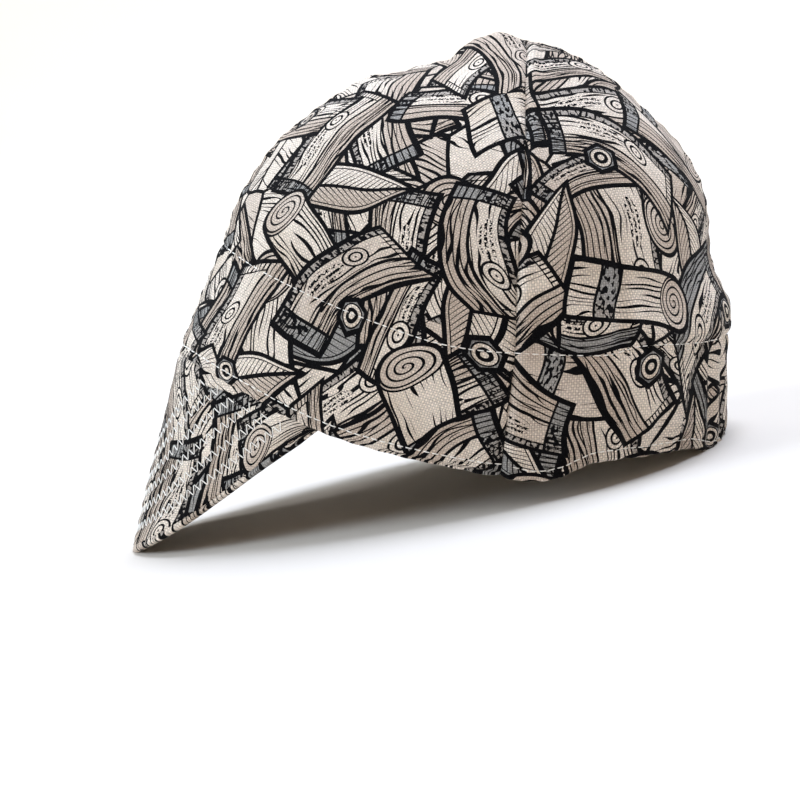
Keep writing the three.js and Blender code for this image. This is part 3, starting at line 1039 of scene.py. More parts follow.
@dataclass(frozen=True)
class Roll:
    """A roll of bark: a coiled oval end, a grained side and a strap round it. Sizes are in mm."""

    oval: float = 0.72
    coil_pitch: float = 2.9
    coil_line: float = 0.42
    rim_in: float = 0.2
    rim_line: float = 0.7
    side_pen: Pen = Pen(2.3, 0.47)
    strap_bow: float = 0.012
    strap_share: float = 0.42
    strap_half: float = 3.6
    strap_line: float = 0.45
    blush_from: float = 0.7
    blush_side: float = 0.7
    strap_tone: float = 0.46
    end_tone: float = 0.68

    def draw(self, at: MotifPlace) -> Drawn:
        """Draws the roll.

        Args:
            at: place in the roll.

        Returns:
            The tone, and the distance outside the roll's edge in mm.
        """
        tree, graver = at.tree, at.graver
        radius, length, x, y = at.plan.half_width, at.plan.half_length, at.x, at.y
        end_at = radius * self.oval - length
        off = add(tree, "Math ABSOLUTE", (y,))
        spot = add(tree, "CombineXYZ", (x, y, at.chance))
        from_end = add(tree, "VectorMath SUBTRACT", (spot, (end_at, 0, 0)))
        flat = add(tree, "VectorMath MULTIPLY", (from_end, (1 / self.oval, 1.0, 0)))
        far = add(tree, "VectorMath LENGTH", (flat,)).outputs["Value"]
        parts = add(tree, "SeparateXYZ", (flat,))
        around = add(tree, "Math ARCTAN2", (parts.outputs[1], parts.outputs[0]))
        coiled = add(tree, "Math MULTIPLY_ADD", (around, self.coil_pitch / (2 * math.pi), far))
        coil_wave = add(tree, "Math PINGPONG", (coiled, self.coil_pitch / 2))
        coil = add(tree, "Math LESS_THAN", (coil_wave, self.coil_line))
        end_rim = add(tree, "Math COMPARE", (far, radius - self.rim_in, self.rim_line))
        end_lines = add(tree, "Math MAXIMUM", (coil, end_rim))
        bark = graver.strokes(tree, spot, y, self.side_pen)
        bowed = add(tree, "Math MULTIPLY_ADD", (off, -self.strap_bow, x))
        past_strap = add(tree, "Math SUBTRACT", (bowed, self.strap_share * length))
        from_strap = add(tree, "Math ABSOLUTE", (past_strap,))
        strap_lines = add(tree, "Math COMPARE", (from_strap, self.strap_half, self.strap_line))
        in_strap = add(tree, "Math LESS_THAN", (from_strap, self.strap_half))
        hatched = graver.hatching(tree, spot)
        body_lines = add(tree, "Mix", {0: in_strap, 2: bark, 3: hatched})
        body_lines = add(tree, "Math MAXIMUM", (body_lines, strap_lines))
        in_end = add(tree, "Math LESS_THAN", (far, radius))
        lines = add(tree, "Mix", {0: in_end, 2: body_lines, 3: end_lines})
        centred = add(tree, "Math SUBTRACT", (x, (length + end_at) / 2))
        far_x = add(tree, "Math ABSOLUTE", (centred,))
        past_end = add(tree, "Math SUBTRACT", (far_x, (length - end_at) / 2))
        past_side = add(tree, "Math SUBTRACT", (off, radius))
        past_body = add(tree, "Math MAXIMUM", (past_end, past_side))
        past_oval = add(tree, "Math SUBTRACT", (far, radius))
        outside = add(tree, "Math MINIMUM", (past_body, past_oval))
        warm = add(tree, "Math GREATER_THAN", (at.chance, self.blush_from))
        fill = add(tree, "Math MULTIPLY_ADD", (warm, self.blush_side - 1.0, 1.0))
        for where, tone in ((in_strap, self.strap_tone), (in_end, self.end_tone)):
            fill = add(tree, "Mix", {0: where, 2: fill, 3: tone})
        return graver.inked(tree, fill, lines, y, radius), outside


@dataclass(frozen=True)
class Nut:
    """A small six-sided nut with a round, threaded hole. Lines are in mm, shares of its half width."""

    ring_share: float = 0.7
    ring_line: float = 0.3
    hole_share: float = 0.34
    hole_line: float = 0.75
    rim_tone: float = 0.36
    ring_tone: float = 0.98

    def draw(self, at: MotifPlace) -> Drawn:
        """Draws the nut.

        Args:
            at: place in the nut.

        Returns:
            The tone, and the distance outside the nut's edge in mm.
        """
        tree, graver = at.tree, at.graver
        size = at.plan.half_width
        spot = add(tree, "CombineXYZ", (at.x, at.y, 0))
        far = add(tree, "VectorMath LENGTH", (spot,)).outputs["Value"]
        widest = add(tree, "Math ABSOLUTE", (at.x,))
        for way in (math.radians(60), math.radians(120)):
            square_on = (math.cos(way), math.sin(way), 0)
            reach = add(tree, "VectorMath DOT_PRODUCT", (spot, square_on))
            distance = add(tree, "Math ABSOLUTE", (reach.outputs["Value"],))
            widest = add(tree, "Math MAXIMUM", (widest, distance))
        outside = add(tree, "Math SUBTRACT", (widest, size))
        chamfer = add(tree, "Math COMPARE", (far, size * self.ring_share, self.ring_line))
        hole = add(tree, "Math COMPARE", (far, size * self.hole_share, self.hole_line))
        lines = add(tree, "Math MAXIMUM", (chamfer, hole))
        in_ring = add(tree, "Math LESS_THAN", (far, size * self.ring_share))
        rise = self.ring_tone - self.rim_tone
        fill = add(tree, "Math MULTIPLY_ADD", (in_ring, rise, self.rim_tone))
        return graver.inked(tree, fill, lines, at.y, size), outside


@dataclass(frozen=True)
class Shards:
    """Bark shards at the bottom of the pile, which fill whatever the motifs leave open. Sizes in mm."""

    size: float = 27.0
    randomness: float = 0.9
    pen: Pen = Pen(2.3, 0.46)
    rim: float = 0.85
    grey_until: float = 0.3
    pale_from: float = 0.35
    grey: float = 0.42
    blush: float = 0.66
    pale: float = 0.95

    def draw(self, tree: Tree, drawn: Node, graver: Graver) -> Node:
        """Draws the shards.

        Args:
            tree: the material's nodes.
            drawn: place on the cloth in mm.
            graver: the marks to draw them with.

        Returns:
            The tone.
        """
        cells = {"Vector": drawn, "Scale": 1 / self.size, "Randomness": self.randomness}
        gap = add(tree, "TexVoronoi", cells, feature="DISTANCE_TO_EDGE", voronoi_dimensions="2D")
        shard = add(tree, "TexVoronoi", cells, feature="F1", voronoi_dimensions="2D")
        dice = add(tree, "SeparateXYZ", (shard.outputs["Color"],))
        angle = add(tree, "Math MULTIPLY", (dice.outputs[0], 2 * math.pi))
        turned = add(tree, "VectorRotate", {"Vector": drawn, "Angle": angle}, rotation_type="Z_AXIS")
        place = add(tree, "SeparateXYZ", (turned,))
        spot = add(tree, "CombineXYZ", (place.outputs[0], place.outputs[1], dice.outputs[1]))
        strokes = graver.strokes(tree, spot, place.outputs[1], self.pen)
        rim = add(tree, "Math LESS_THAN", (gap.outputs["Distance"], self.rim / self.size))
        lines = add(tree, "Math MAXIMUM", (strokes, rim))
        bare = add(tree, "Math SUBTRACT", (1.0, lines))
        warm = add(tree, "Math GREATER_THAN", (dice.outputs[2], self.grey_until))
        pale = add(tree, "Math GREATER_THAN", (dice.outputs[1], self.pale_from))
        fill = add(tree, "Math MULTIPLY_ADD", (warm, self.blush - self.grey, self.grey))
        fill = add(tree, "Mix", {0: pale, 2: fill, 3: self.pale})
        return add(tree, "Math MULTIPLY", (fill, bare))


@dataclass(frozen=True)
class CanvasPrint:
    """Woodcut print on the canvas: stacked boards, rolled bark, leaves and nuts piled on one another.

    The screen-printed lines are crisp and dark, and the fills are flat tones that darken to one side:
    grey, light grey, shaded blush, blush and shaded ground, each at its place between ink and ground.
    """

    ink: str = "#0A0A0D"
    ink_until: float = 0.20
    tones: tuple[tuple[float, str], ...] = (
        (0.27, "#7A7978"), (0.43, "#A9A7A3"), (0.54, "#C8B7A7"), (0.69, "#E0D2C4"), (0.80, "#DACBB9"),
    )
    ground: str = "#F2E6D8"
    ground_from: float = 0.98
    bow: float = 0.009
    hand_noise: float = 0.021
    hand_sway: float = 8.0
    graver: Graver = Graver()
    leaf: Leaf = Leaf()
    boards: Boards = Boards()
    roll: Roll = Roll()
    nut: Nut = Nut()
    shards: Shards = Shards()

    def layer(self, tree: Tree, cloth: Node, plan: PrintLayer, seed: int) -> Drawn:
        """Tone and edge distance of one layer.

        Args:
            tree: the material's nodes.
            cloth: place on the cloth in mm.
            plan: what the layer repeats and where.
            seed: number that tells this layer's dice from the others'.

        Returns:
            The tone, from 0 for ink to 1 for ground, and the distance outside the motif's edge in mm.
        """
        size, wander = plan.cell, plan.wander
        placed = add(tree, "Mapping", (
            cloth, (plan.shift_x, plan.shift_y, 0), (0, 0, math.radians(plan.turn)), (1 / size, 1 / size, 1),
        ))
        cell = add(tree, "VectorMath FLOOR", (placed,))
        named = add(tree, "VectorMath ADD", (cell, (0.5, 0.5, seed + 0.5)))
        dice = add(tree, "TexWhiteNoise", (named,), noise_dimensions="3D")
        within = add(tree, "VectorMath FRACTION", (placed,))
        centred = add(tree, "VectorMath MULTIPLY_ADD", (within, (size, size, 0), (-size / 2, -size / 2, 0)))
        drift = add(tree, "VectorMath MULTIPLY_ADD", (
            dice.outputs["Color"], (2 * wander, 2 * wander, 0), (-wander, -wander, 0),
        ))
        moved = add(tree, "VectorMath SUBTRACT", (centred, drift))
        angle = add(tree, "Math MULTIPLY", (dice.outputs["Value"], 2 * math.pi))
        turned = add(tree, "VectorRotate", {"Vector": moved, "Angle": angle}, rotation_type="Z_AXIS")
        place = add(tree, "SeparateXYZ", (turned,))
        chance = add(tree, "SeparateXYZ", (dice.outputs["Color"],)).outputs[2]
        bow = add(tree, "Math MULTIPLY_ADD", (chance, 2 * self.bow, -self.bow))
        square = add(tree, "Math MULTIPLY", (place.outputs[0], place.outputs[0]))
        bowed = add(tree, "Math MULTIPLY_ADD", (square, bow, place.outputs[1]))
        motifs = dict(zip(Motif, (self.leaf, self.boards, self.roll, self.nut)))
        at = MotifPlace(tree, place.outputs[0], bowed, chance, plan, self.graver)
        return motifs[plan.motif].draw(at)

    def colour(self, tree: Tree, cloth: Node) -> Node:
        """Colour of the print at a place on the cloth.

        Args:
            tree: the material's nodes.
            cloth: place on the cloth in mm.

        Returns:
            A colour ramp node that gives the ink's or the ground's colour.
        """
        sway = self.hand_sway
        hand = add(tree, "TexNoise", {"Vector": cloth, "Scale": self.hand_noise, "Detail": 1.0})
        swayed = add(tree, "VectorMath MULTIPLY_ADD", (
            hand.outputs["Color"], (2 * sway, 2 * sway, 0), (-sway, -sway, 0),
        ))
        drawn = add(tree, "VectorMath ADD", (cloth, swayed))
        tone = self.shards.draw(tree, drawn, self.graver)
        for seed, plan in enumerate(PRINT_LAYERS):
            layer_tone, outside = self.layer(tree, drawn, plan, seed)
            body = add(tree, "Math LESS_THAN", (outside, -self.graver.outline))
            layer_tone = add(tree, "Math MULTIPLY", (layer_tone, body))
            covers = add(tree, "Math LESS_THAN", (outside, self.graver.outline_out))
            tone = add(tree, "Mix", {0: covers, 2: tone, 3: layer_tone})
        ramp = add(tree, "ValToRGB", (tone,))
        stops = ramp.color_ramp.elements
        stops[0].position, stops[0].color = self.ink_until, linear(self.ink)
        stops[1].position, stops[1].color = self.ground_from, linear(self.ground)
        for place, colour in self.tones:
            stops.new(place).color = linear(colour)
        return ramp


@dataclass(frozen=True)
class Finish:
    """What a surface is made of: its name, its sRGB colour and how rough it is."""

    name: str
    colour: str
    roughness: float

    def material(self) -> Material:
        """Makes the material, its colour dimmed by its shade on a principled surface; for the canvas and the
        thread that shade is partly painted shade of the weave and the plies.

        Returns:
            The material.
        """
        material = bpy.data.materials.new(self.name)
        material.use_nodes = True
        tree = material.node_tree
        tree.nodes.clear()
        output = add(tree, "OutputMaterial")
        base, shade, own = self.looks(tree)
        tinted = add(tree, "Mix", {0: 1.0, 6: base, 7: shade}, data_type="RGBA", blend_type="MULTIPLY")
        sockets = {"Base Color": tinted.outputs[2], "Roughness": self.roughness, **own}
        tree.links.new(add(tree, "BsdfPrincipled", sockets).outputs[0], output.inputs["Surface"])
        return material

    def looks(self, tree: Tree) -> Looks:
        """Tells finishes apart, so each kind has its own."""
        raise NotImplementedError


@dataclass(frozen=True)
class WovenCotton(Finish):
    """Plain-weave cotton canvas, woven of thick even yarns: matt, with a small bump at each crossing.

    The canvas's pitch is the one measured in the photo. The bump, and the shade painted into the gaps between
    the yarns with light painted on their crossings, are drawn stronger than real, so that they show at the
    size of the picture.
    """

    roughness: float = 0.95
    printed: CanvasPrint | None = None
    yarn_pitch: float = 0.92
    bump_height: float = 0.2
    stray: float = 0.9
    stray_noise: float = 0.35
    crossing_round: float = 0.6
    over_and_under: float = 0.4
    slub_noise: tuple[float, float] = (0.85, 0.1)
    slub_shade: float = 0.55
    wear_noise: float = 0.022
    wear_shade: float = 0.5
    shade_range: tuple[float, float] = (0.75, 1.75)
    painted_gap_shade: float = 0.44
    painted_crossing_light: float = 1.08
    sheen: float = 0.02
    sheen_roughness: float = 0.5
    specular: float = 0.08

    def looks(self, tree: Tree) -> Looks:
        """Print, painted shade and light of the weave, slubs and wear, read from the piece's own cut map in
        mm.

        Args:
            tree: the material's nodes.

        Returns:
            The base colour, its shade (painted shade and light of the weave, with the cloth's own slubs and
            wear), and the surface's other sockets.
        """
        cut = add(tree, "UVMap", uv_map=CUT_MAP)
        cloth = add(tree, "VectorMath MULTIPLY", (cut, (1 / MM, 1 / MM, 0)))
        weave = self.weave(tree, cloth)
        base = self.printed.colour(tree, cloth) if self.printed else linear(self.colour)
        # The weave's height starts the shade: painted shade in the gaps between the yarns, painted light on
        # their crossings.
        shade = weave
        across, lengthwise = self.slub_noise
        for stretch in ((across, lengthwise, 1), (lengthwise, across, 1)):
            yarn = add(tree, "VectorMath MULTIPLY", (cloth, stretch))
            slubs = add(tree, "TexNoise", {"Vector": yarn, "Scale": 1.0, "Detail": 2.0})
            shade = add(tree, "Math MULTIPLY_ADD", (slubs, self.slub_shade, shade))
        wear = add(tree, "TexNoise", {"Vector": cloth, "Scale": self.wear_noise, "Detail": 3.0})
        shade = add(tree, "Math MULTIPLY_ADD", (wear, self.wear_shade, shade))
        # Weave, slubs and wear become a multiplier of the colour: painted shade at the weave's gaps, painted
        # light at its crossings, and the cloth's own tone from slubs and wear.
        uneven = add(tree, "MapRange", (shade, *self.shade_range, self.painted_gap_shade, self.painted_crossing_light))
        bump = add(tree, "Bump", {"Height": weave, "Distance": self.bump_height * MM, "Strength": 1.0})
        return base, uneven, {
            "Sheen Weight": self.sheen,
            "Sheen Roughness": self.sheen_roughness,
            "Specular IOR Level": self.specular,
            "Normal": bump,
        }

    def weave(self, tree: Tree, cloth: Node) -> Node:
        """Height of the weave, whose yarns stray a little from straight lines.

        Args:
            tree: the material's nodes.
            cloth: place on the cloth in mm.

        Returns:
            The height, from 0 between yarns to above 1 on top of a crossing.
        """
        turn = math.pi / self.yarn_pitch
        loose = add(tree, "TexNoise", {"Vector": cloth, "Scale": self.stray_noise, "Detail": 1.0})
        strayed = add(tree, "VectorMath MULTIPLY_ADD", (
            loose.outputs["Color"], (self.stray, self.stray, 0), cloth,
        ))
        waves = add(tree, "VectorMath MULTIPLY", (strayed, (turn, turn, 0)))
        swing = add(tree, "VectorMath SINE", (waves,))
        parts = add(tree, "SeparateXYZ", (swing,))
        product = add(tree, "Math MULTIPLY", (parts.outputs[0], parts.outputs[1]))
        crossing = add(tree, "Math ABSOLUTE", (product,))
        rounded = add(tree, "Math POWER", (crossing, self.crossing_round))
        return add(tree, "Math MULTIPLY_ADD", (product, self.over_and_under, rounded))


@dataclass(frozen=True)
class SewingThread(Finish):
    """Spun polyester sewing thread: smooth, off-white and a little glossy."""

    name: str = "spun_polyester_thread"
    colour: str = "#F8F6F1"
    roughness: float = 0.55
    sheen: float = 0.2
    ply_length: float = 0.9
    painted_ply_groove_shade: float = 0.86
    ply_wander: float = 0.4
    bands_per_scale: float = 6.0

    def looks(self, tree: Tree) -> Looks:
        """Painted shade in the grooves between the thread's plies, as faint slanting bands.

        Args:
            tree: the material's nodes.

        Returns:
            The base colour, the painted shade between the plies, and the surface's other sockets.
        """
        place = add(tree, "TexCoord")
        plies = add(tree, "TexWave", {
            "Vector": place.outputs["Object"],
            "Scale": 1 / (self.ply_length * MM) / self.bands_per_scale,
            "Distortion": self.ply_wander,
        }, bands_direction="DIAGONAL")
        # Darker bands are painted shade in the grooves between the twisted plies.
        shade = add(tree, "MapRange", (plies.outputs["Fac"], 0.0, 1.0, self.painted_ply_groove_shade, 1.0))
        return linear(self.colour), shade, {"Sheen Weight": self.sheen}


@dataclass(frozen=True)
class MattPaint(Finish):
    """Matt emulsion of a studio's floor and wall: a pale warm grey that the lamps raise to white."""

    name: str = "matt_studio_white"
    colour: str = "#D1CBC3"
    roughness: float = 0.9
    mottle: float = 3.0
    mottle_shade: float = 0.985

    def looks(self, tree: Tree) -> Looks:
        """The faintest roller mottle.

        Args:
            tree: the material's nodes.

        Returns:
            The base colour, its shade, and the surface's other sockets.
        """
        place = add(tree, "TexCoord")
        spot = place.outputs["Object"]
        mottle = add(tree, "TexNoise", {"Vector": spot, "Scale": self.mottle, "Detail": 2.0})
        return linear(self.colour), add(tree, "MapRange", (mottle, 0.0, 1.0, self.mottle_shade, 1.0)), {}


@dataclass
class ShellGrid:
    """A closed sheet of cloth between an outer and an inner grid of points."""

    outer: Array
    inner: Array
    cut: Array
    turned_rows: int = 0

    def object(self, name: str, materials: list[Material]) -> Object:
        """Makes the mesh object.

        Args:
            name: the piece's name.
            materials: the outer face's material, and the inner face's where it differs.

        Returns:
            The new object, its points in metres in the frame of the solids.
        """
        rows, columns = self.outer.shape[:2]
        grid = np.arange(rows * columns).reshape(rows, columns)
        deep = grid + rows * columns
        faces = [self.quads(grid), self.quads(deep)[:, ::-1]]
        strips = (
            (grid[0, ::-1], deep[0, ::-1]),
            (grid[-1], deep[-1]),
            (grid[:, 0], deep[:, 0]),
            (grid[::-1, -1], deep[::-1, -1]),
        )
        for top, low in strips:
            faces.append(np.stack([top[1:], top[:-1], low[:-1], low[1:]], axis=1))
        points = np.concatenate([self.outer.reshape(-1, 3), self.inner.reshape(-1, 3)])
        polygons = np.concatenate(faces)
        if self.signed_volume(points, polygons) < 0:
            polygons = polygons[:, ::-1]
        mesh = bpy.data.meshes.new(name)
        mesh.from_pydata(points.tolist(), [], polygons.tolist())
        flat = np.concatenate([self.cut.reshape(-1, 2)] * 2)
        layer = mesh.uv_layers.new(name=CUT_MAP)
        layer.data.foreach_set("uv", flat[polygons.ravel()].ravel())
        for material in materials:
            mesh.materials.append(material)
        if len(materials) > 1:
            slots = np.zeros(len(polygons), dtype=np.int32)
            outer_count = (rows - 1) * (columns - 1)
            row_of = np.repeat(np.arange(rows - 1), columns - 1)
            slots[outer_count : 2 * outer_count] = row_of < rows - 1 - self.turned_rows
            mesh.polygons.foreach_set("material_index", slots)
        mesh.polygons.foreach_set("use_smooth", np.ones(len(polygons), dtype=bool))
        mesh.update()
        obj = bpy.data.objects.new(name, mesh)
        bpy.context.scene.collection.objects.link(obj)
        return obj

    @staticmethod
    def quads(grid: Array) -> Array:
        """Corner numbers of each cell of a grid."""
        return np.stack([
            grid[:-1, :-1].ravel(), grid[1:, :-1].ravel(), grid[1:, 1:].ravel(), grid[:-1, 1:].ravel(),
        ], axis=1)

    @staticmethod
    def signed_volume(points: Array, polygons: Array) -> float:
        """Volume inside four-cornered faces, below zero when they point inwards."""
        a, b, c, d = (points[polygons[:, k]] for k in range(4))
        return float((np.cross(b, c) * a).sum() + (np.cross(c, d) * a).sum())


def rounded_edge(outer: Array, inner: Array, steps: int = 4, short: float = 0.15) -> tuple[Array, Array]:
    """Rolls the last row of a sheet round its edge in a half circle.

    Args:
        outer: outer face's points, rows down to the edge.
        inner: inner face's points.
        steps: rows that are added to each face for the roll.
        short: share of a step by which the faces stop before they touch.

    Returns:
        The two faces with their added rows, which nearly meet in the middle of the edge.
    """
    middle = (outer[-1] + inner[-1]) / 2
    half = (outer[-1] - inner[-1]) / 2
    radius = np.linalg.norm(half, axis=-1, keepdims=True)
    onward = unit(outer[-1] - outer[-2])
    added_outer, added_inner = [], []
    for step in range(1, steps + 1):
        angle = 0.5 * math.pi * step / (steps + short)
        lift, reach = math.cos(angle), math.sin(angle)
        added_outer.append(middle + half * lift + onward * radius * reach)
        added_inner.append(middle - half * lift + onward * radius * reach)
    return np.concatenate([outer, added_outer]), np.concatenate([inner, added_inner])


def cut_of(points: Array, middle_column: int) -> Array:
    """Flattens a grid of points to the shape that its cloth is cut to.

    Rows become arcs about the middle column, with the bend that the form gives them.

    Args:
        points: grid of positions in mm.
        middle_column: the column that stays straight.

    Returns:
        Flat positions in metres, across and down.
    """
    row_apart, least_widening, least_width = 1e-6, 1e-5, 1e-3
    across = running_length(points, 1)
    across = across - across[:, middle_column : middle_column + 1]
    walked = running_length(points, 0)
    down = walked[:, middle_column]
    width = across[:, -1] - across[:, 0]
    widening = np.gradient(width, down + np.arange(len(down)) * row_apart)
    width = np.maximum(width, least_width)
    bend = np.minimum(np.maximum(widening, least_widening) / width, math.pi / 2 / width)[:, None]
    turn = across * bend
    own = walked - down[:, None]
    flat_x = np.sin(turn) / bend + own * np.sin(turn)
    flat_y = down[:, None] - (1 - np.cos(turn)) / bend + own * np.cos(turn)
    return np.stack([flat_x, -flat_y], axis=-1) * MM


def cut_of_bill(points: Array, middle_column: int) -> Array:
    """Flattens the bill, which hangs nearly upright, by unrolling it sideways.

    Args:
        points: grid of positions as worn, in mm.
        middle_column: the column at the front of the bill.

    Returns:
        Flat positions in metres, across and down.
    """
    across = running_length(points * np.array([1.0, 1.0, 0.0]), 1)
    across = across - across[:, middle_column : middle_column + 1]
    slope = running_length(points, 0)[-1, middle_column] / abs(np.ptp(points[:, middle_column, 2]))
    return np.stack([across, points[..., 2] * slope], axis=-1) * MM


@dataclass
class Crown:
    """Four gores of printed canvas, sewn edge to edge and hemmed at the rim. Sizes are in mm."""

    form: CapForm
    relief: ClothRelief
    columns: int = 150
    rows: int = 200
    point_share: float = 0.003
    row_power: float = 0.95
    turned_hem: float = 10.0
    allowance: float = 7.0
    turned_cloth: float = 0.7
    turned_step: float = 0.8
    turned_from: float = 6.0
    turned_full: float = 20.0

    def gore(
        self, side: Side, front: bool, origin: tuple[float, float], materials: list[Material]
    ) -> Object:
        """Makes one gore.

        Args:
            side: the half of the cap that it is on.
            front: whether it is a front gore.
            origin: where on the printed cloth it is cut, in mm.
            materials: printed face and reverse.

        Returns:
            The gore as a closed sheet.
        """
        first = 0.0 if front else 90.0
        azimuth = np.linspace(first, first + 90, self.columns + 1) * side.value
        spread = np.linspace(0, 1, self.rows + 1) ** self.row_power
        azimuth, share = np.meshgrid(azimuth, self.point_share + (1 - self.point_share) * spread)
        form = self.form
        plain, out = form.crown(azimuth, share), form.crown_out(azimuth, share)
        height = self.relief.crown(azimuth, share)
        reverse = self.relief.reverse(plain, azimuth, share)
        outer = plain + out * height[..., None]
        inner = plain + out * (reverse - form.crown_wall - self.seam_turnings(plain, azimuth))[..., None]
        outer, inner = rounded_edge(outer, inner)
        smooth, _ = rounded_edge(plain, plain - out * form.crown_wall)
        cut = cut_of(smooth, self.columns // 2) + np.array(origin) * MM
        step = form.meridian / self.rows
        grid = ShellGrid(form.lay_down(outer), form.lay_down(inner), cut, int(self.turned_hem / step))
        name = f"gore_{'front' if front else 'back'}_{side.name.lower()}"
        return grid.object(name, materials)

    def seam_turnings(self, points: Array, azimuth: Array) -> Array:
        """Extra thickness inside, where the seam's turned edges lie.

        Args:
            points: places on the plain crown, in mm.
            azimuth: their degrees from the front.

        Returns:
            Thicknesses in mm.
        """
        radius = self.form.from_point(points)
        to_seam = np.min([np.abs(np.abs(azimuth) - seam) for seam in SEAM_AZIMUTHS], axis=0)
        away = np.radians(to_seam) * radius
        turned = self.turned_cloth * smooth_step(-away, -self.allowance, self.turned_step - self.allowance)
        return turned * smooth_step(radius, self.turned_from, self.turned_full)


@dataclass
class Bill:
    """Quilted bill of two canvas plies, sewn together round the edge and to the rim. Sizes are in mm."""

    form: CapForm
    relief: ClothRelief
    columns: int = 240
    rows: int = 110
    row_power: float = 0.9
    edge_points: int = 241
    quilt_first: float = 8.0
    quilt_step: float = 6.5
    quilt_rows: int = 6
    quilt_puff: float = 0.55
    quilt_sink: float = 0.2
    beyond_width: float = 3.0
    beyond_puff: float = 0.8
    slack_share: float = 0.5
    shortest_share: float = 0.5
    rim_roll: float = 1.7
    rim_fade: float = 2.5
    rim_sink: float = 0.5
    roll_before: float = 0.35
    roll_after: float = 0.25
    roll_under: float = 0.15
    roll_from: float = 2.0
    roll_full: float = 8.0
    cut_origin: tuple[float, float] = (0.31, 0.17)

    def edge_distance(self, azimuth: Array, out: Array) -> Array:
        """Shortest distance over the bill from its points to its outer edge.

        Args:
            azimuth: degrees from the front of the rim.
            out: share of the way to the bill's edge.

        Returns:
            Distances in mm.
        """
        points = self.form.bill(azimuth, out)
        limit, count = self.form.bill_end_azimuth, self.edge_points
        flat = points.reshape(-1, 3)
        nearest = np.full(len(flat), np.inf)
        for place in self.form.bill(np.linspace(-limit, limit, count), np.ones(count)):
            nearest = np.minimum(nearest, ((flat - place) ** 2).sum(axis=1))
        return np.sqrt(nearest).reshape(points.shape[:-1])

    def puff(self, azimuth: Array, out: Array) -> Array:
        """Padding that stands up between the stitched rows, with the cloth's slack.

        Args:
            azimuth: degrees from the front of the rim.
            out: share of the way to the bill's edge.

        Returns:
            Heights in mm.
        """
        distance = self.edge_distance(azimuth, out)
        first, step = self.quilt_first, self.quilt_step
        last = first + (self.quilt_rows - 1) * step
        wave = 0.5 - 0.5 * np.cos(2 * np.pi * (distance - first) / step)
        beyond = smooth_step(distance, last, last + self.beyond_width)
        beyond = beyond + smooth_step(-distance, -first, -self.beyond_width)
        quilted = self.quilt_puff * np.maximum(wave, beyond * self.beyond_puff) - self.quilt_sink
        return quilted + self.slack_share * self.relief.slow_waves(self.form.bill(azimuth, out))

    def ply(self, name: str, top: float, low: float, padded_out: float, material: Material) -> Object:
        """Makes one ply between two depths under the bill's plain upper face.

        The lower ply rolls up round the upper one's edge, where the two are sewn together.

        Args:
            name: the piece's name.
            top: depth of its upper face.
            low: depth of its lower face.
            padded_out: 1 where the quilting stands out of the upper face, -1 out of the lower one.
            material: the ply's material.

        Returns:
            The ply as a closed sheet.
        """
        form, roll = self.form, self.rim_roll
        limit = form.bill_end_azimuth
        around, outward = np.linspace(-limit, limit, self.columns + 1), np.linspace(0, 1, self.rows + 1)
        azimuth, out = np.meshgrid(around, outward)
        length = form.bill_reach(azimuth)
        short = roll if padded_out > 0 else 0.0
        out = out**self.row_power * np.maximum(1 - short / length, self.shortest_share)
        plain, normal = form.bill(azimuth, out), form.bill_out(azimuth, out)
        near_rim = smooth_step(out * length, 0, self.rim_fade)
        puff = self.puff(azimuth, out) * near_rim - self.rim_sink * (1 - near_rim)
        distance = self.edge_distance(azimuth, out)
        rolled = smooth_step(-distance, -roll - self.roll_before, -roll + self.roll_after) * (padded_out < 0)
        rolled = rolled * smooth_step(length, self.roll_from, self.roll_full)
        lifted = puff * (padded_out > 0) - top + rolled * (top - self.roll_under)
        upper = plain + normal * lifted[..., None]
        lower = plain - normal * (puff * (padded_out < 0) + low)[..., None]
        upper, lower = rounded_edge(upper, lower)
        smooth, _ = rounded_edge(plain, plain - normal * (low - top))
        cut = cut_of_bill(smooth, self.columns // 2) + np.array(self.cut_origin) * [1, padded_out]
        return ShellGrid(form.lay_down(upper), form.lay_down(lower), cut).object(name, [material])


@dataclass
class RimBands:
    """Sweatband round the front and sides, and the elastic casing behind, inside the rim."""

    form: CapForm
    relief: ClothRelief
    above_hem: float = 0.025
    rows: int = 36
    end_gap: float = 0.25
    crimps: Puckers = Puckers(5.3, 1.4, 6.1)
    pucker: float = 0.2
    puckers: Puckers = Puckers(3.7)
    seam_in: float = 0.03
    pucker_share: float = 0.07
    pad_fade: float = 0.06
    cut_origin: tuple[float, float] = (0.7, 0.1)

    def band(
        self, name: str, start: float, end: float, columns: int, crimp: float, material: Material
    ) -> Object:
        """Makes a stretch of band.

        Args:
            name: the piece's name.
            start: azimuth at which it starts.
            end: azimuth at which it ends.
            columns: cells along it.
            crimp: height of the small folds that the elastic gives it, in mm.
            material: its cloth.

        Returns:
            The band as a closed sheet.
        """
        form = self.form
        azimuth, down = np.meshgrid(np.linspace(start, end, columns + 1), np.linspace(0, 1, self.rows + 1))
        top = form.band_share(azimuth)
        share = top + (1 - self.above_hem - top) * down
        plain, out = form.crown(azimuth, share), form.crown_out(azimuth, share)
        depth = (form.crown_wall + form.band_gap - self.relief.stand(azimuth, share))[..., None]
        ripple = crimp * (0.5 + 0.5 * self.crimps.wave(azimuth))
        low = bell(down - 1 + self.seam_in, self.pucker_share)
        at_seams = bell(down - self.seam_in, self.pucker_share) + low
        pucker = self.pucker * self.puckers.wave(azimuth) * at_seams
        pad = smooth_step(down, 0, self.pad_fade) * smooth_step(-down, -1, self.pad_fade - 1)
        outer = plain - out * depth
        thickness = form.band_wall + (ripple + pucker) * pad
        inner = outer - out * thickness[..., None]
        cut = cut_of(outer, columns // 2) + np.array(self.cut_origin)
        return ShellGrid(form.lay_down(outer), form.lay_down(inner), cut).object(name, [material])


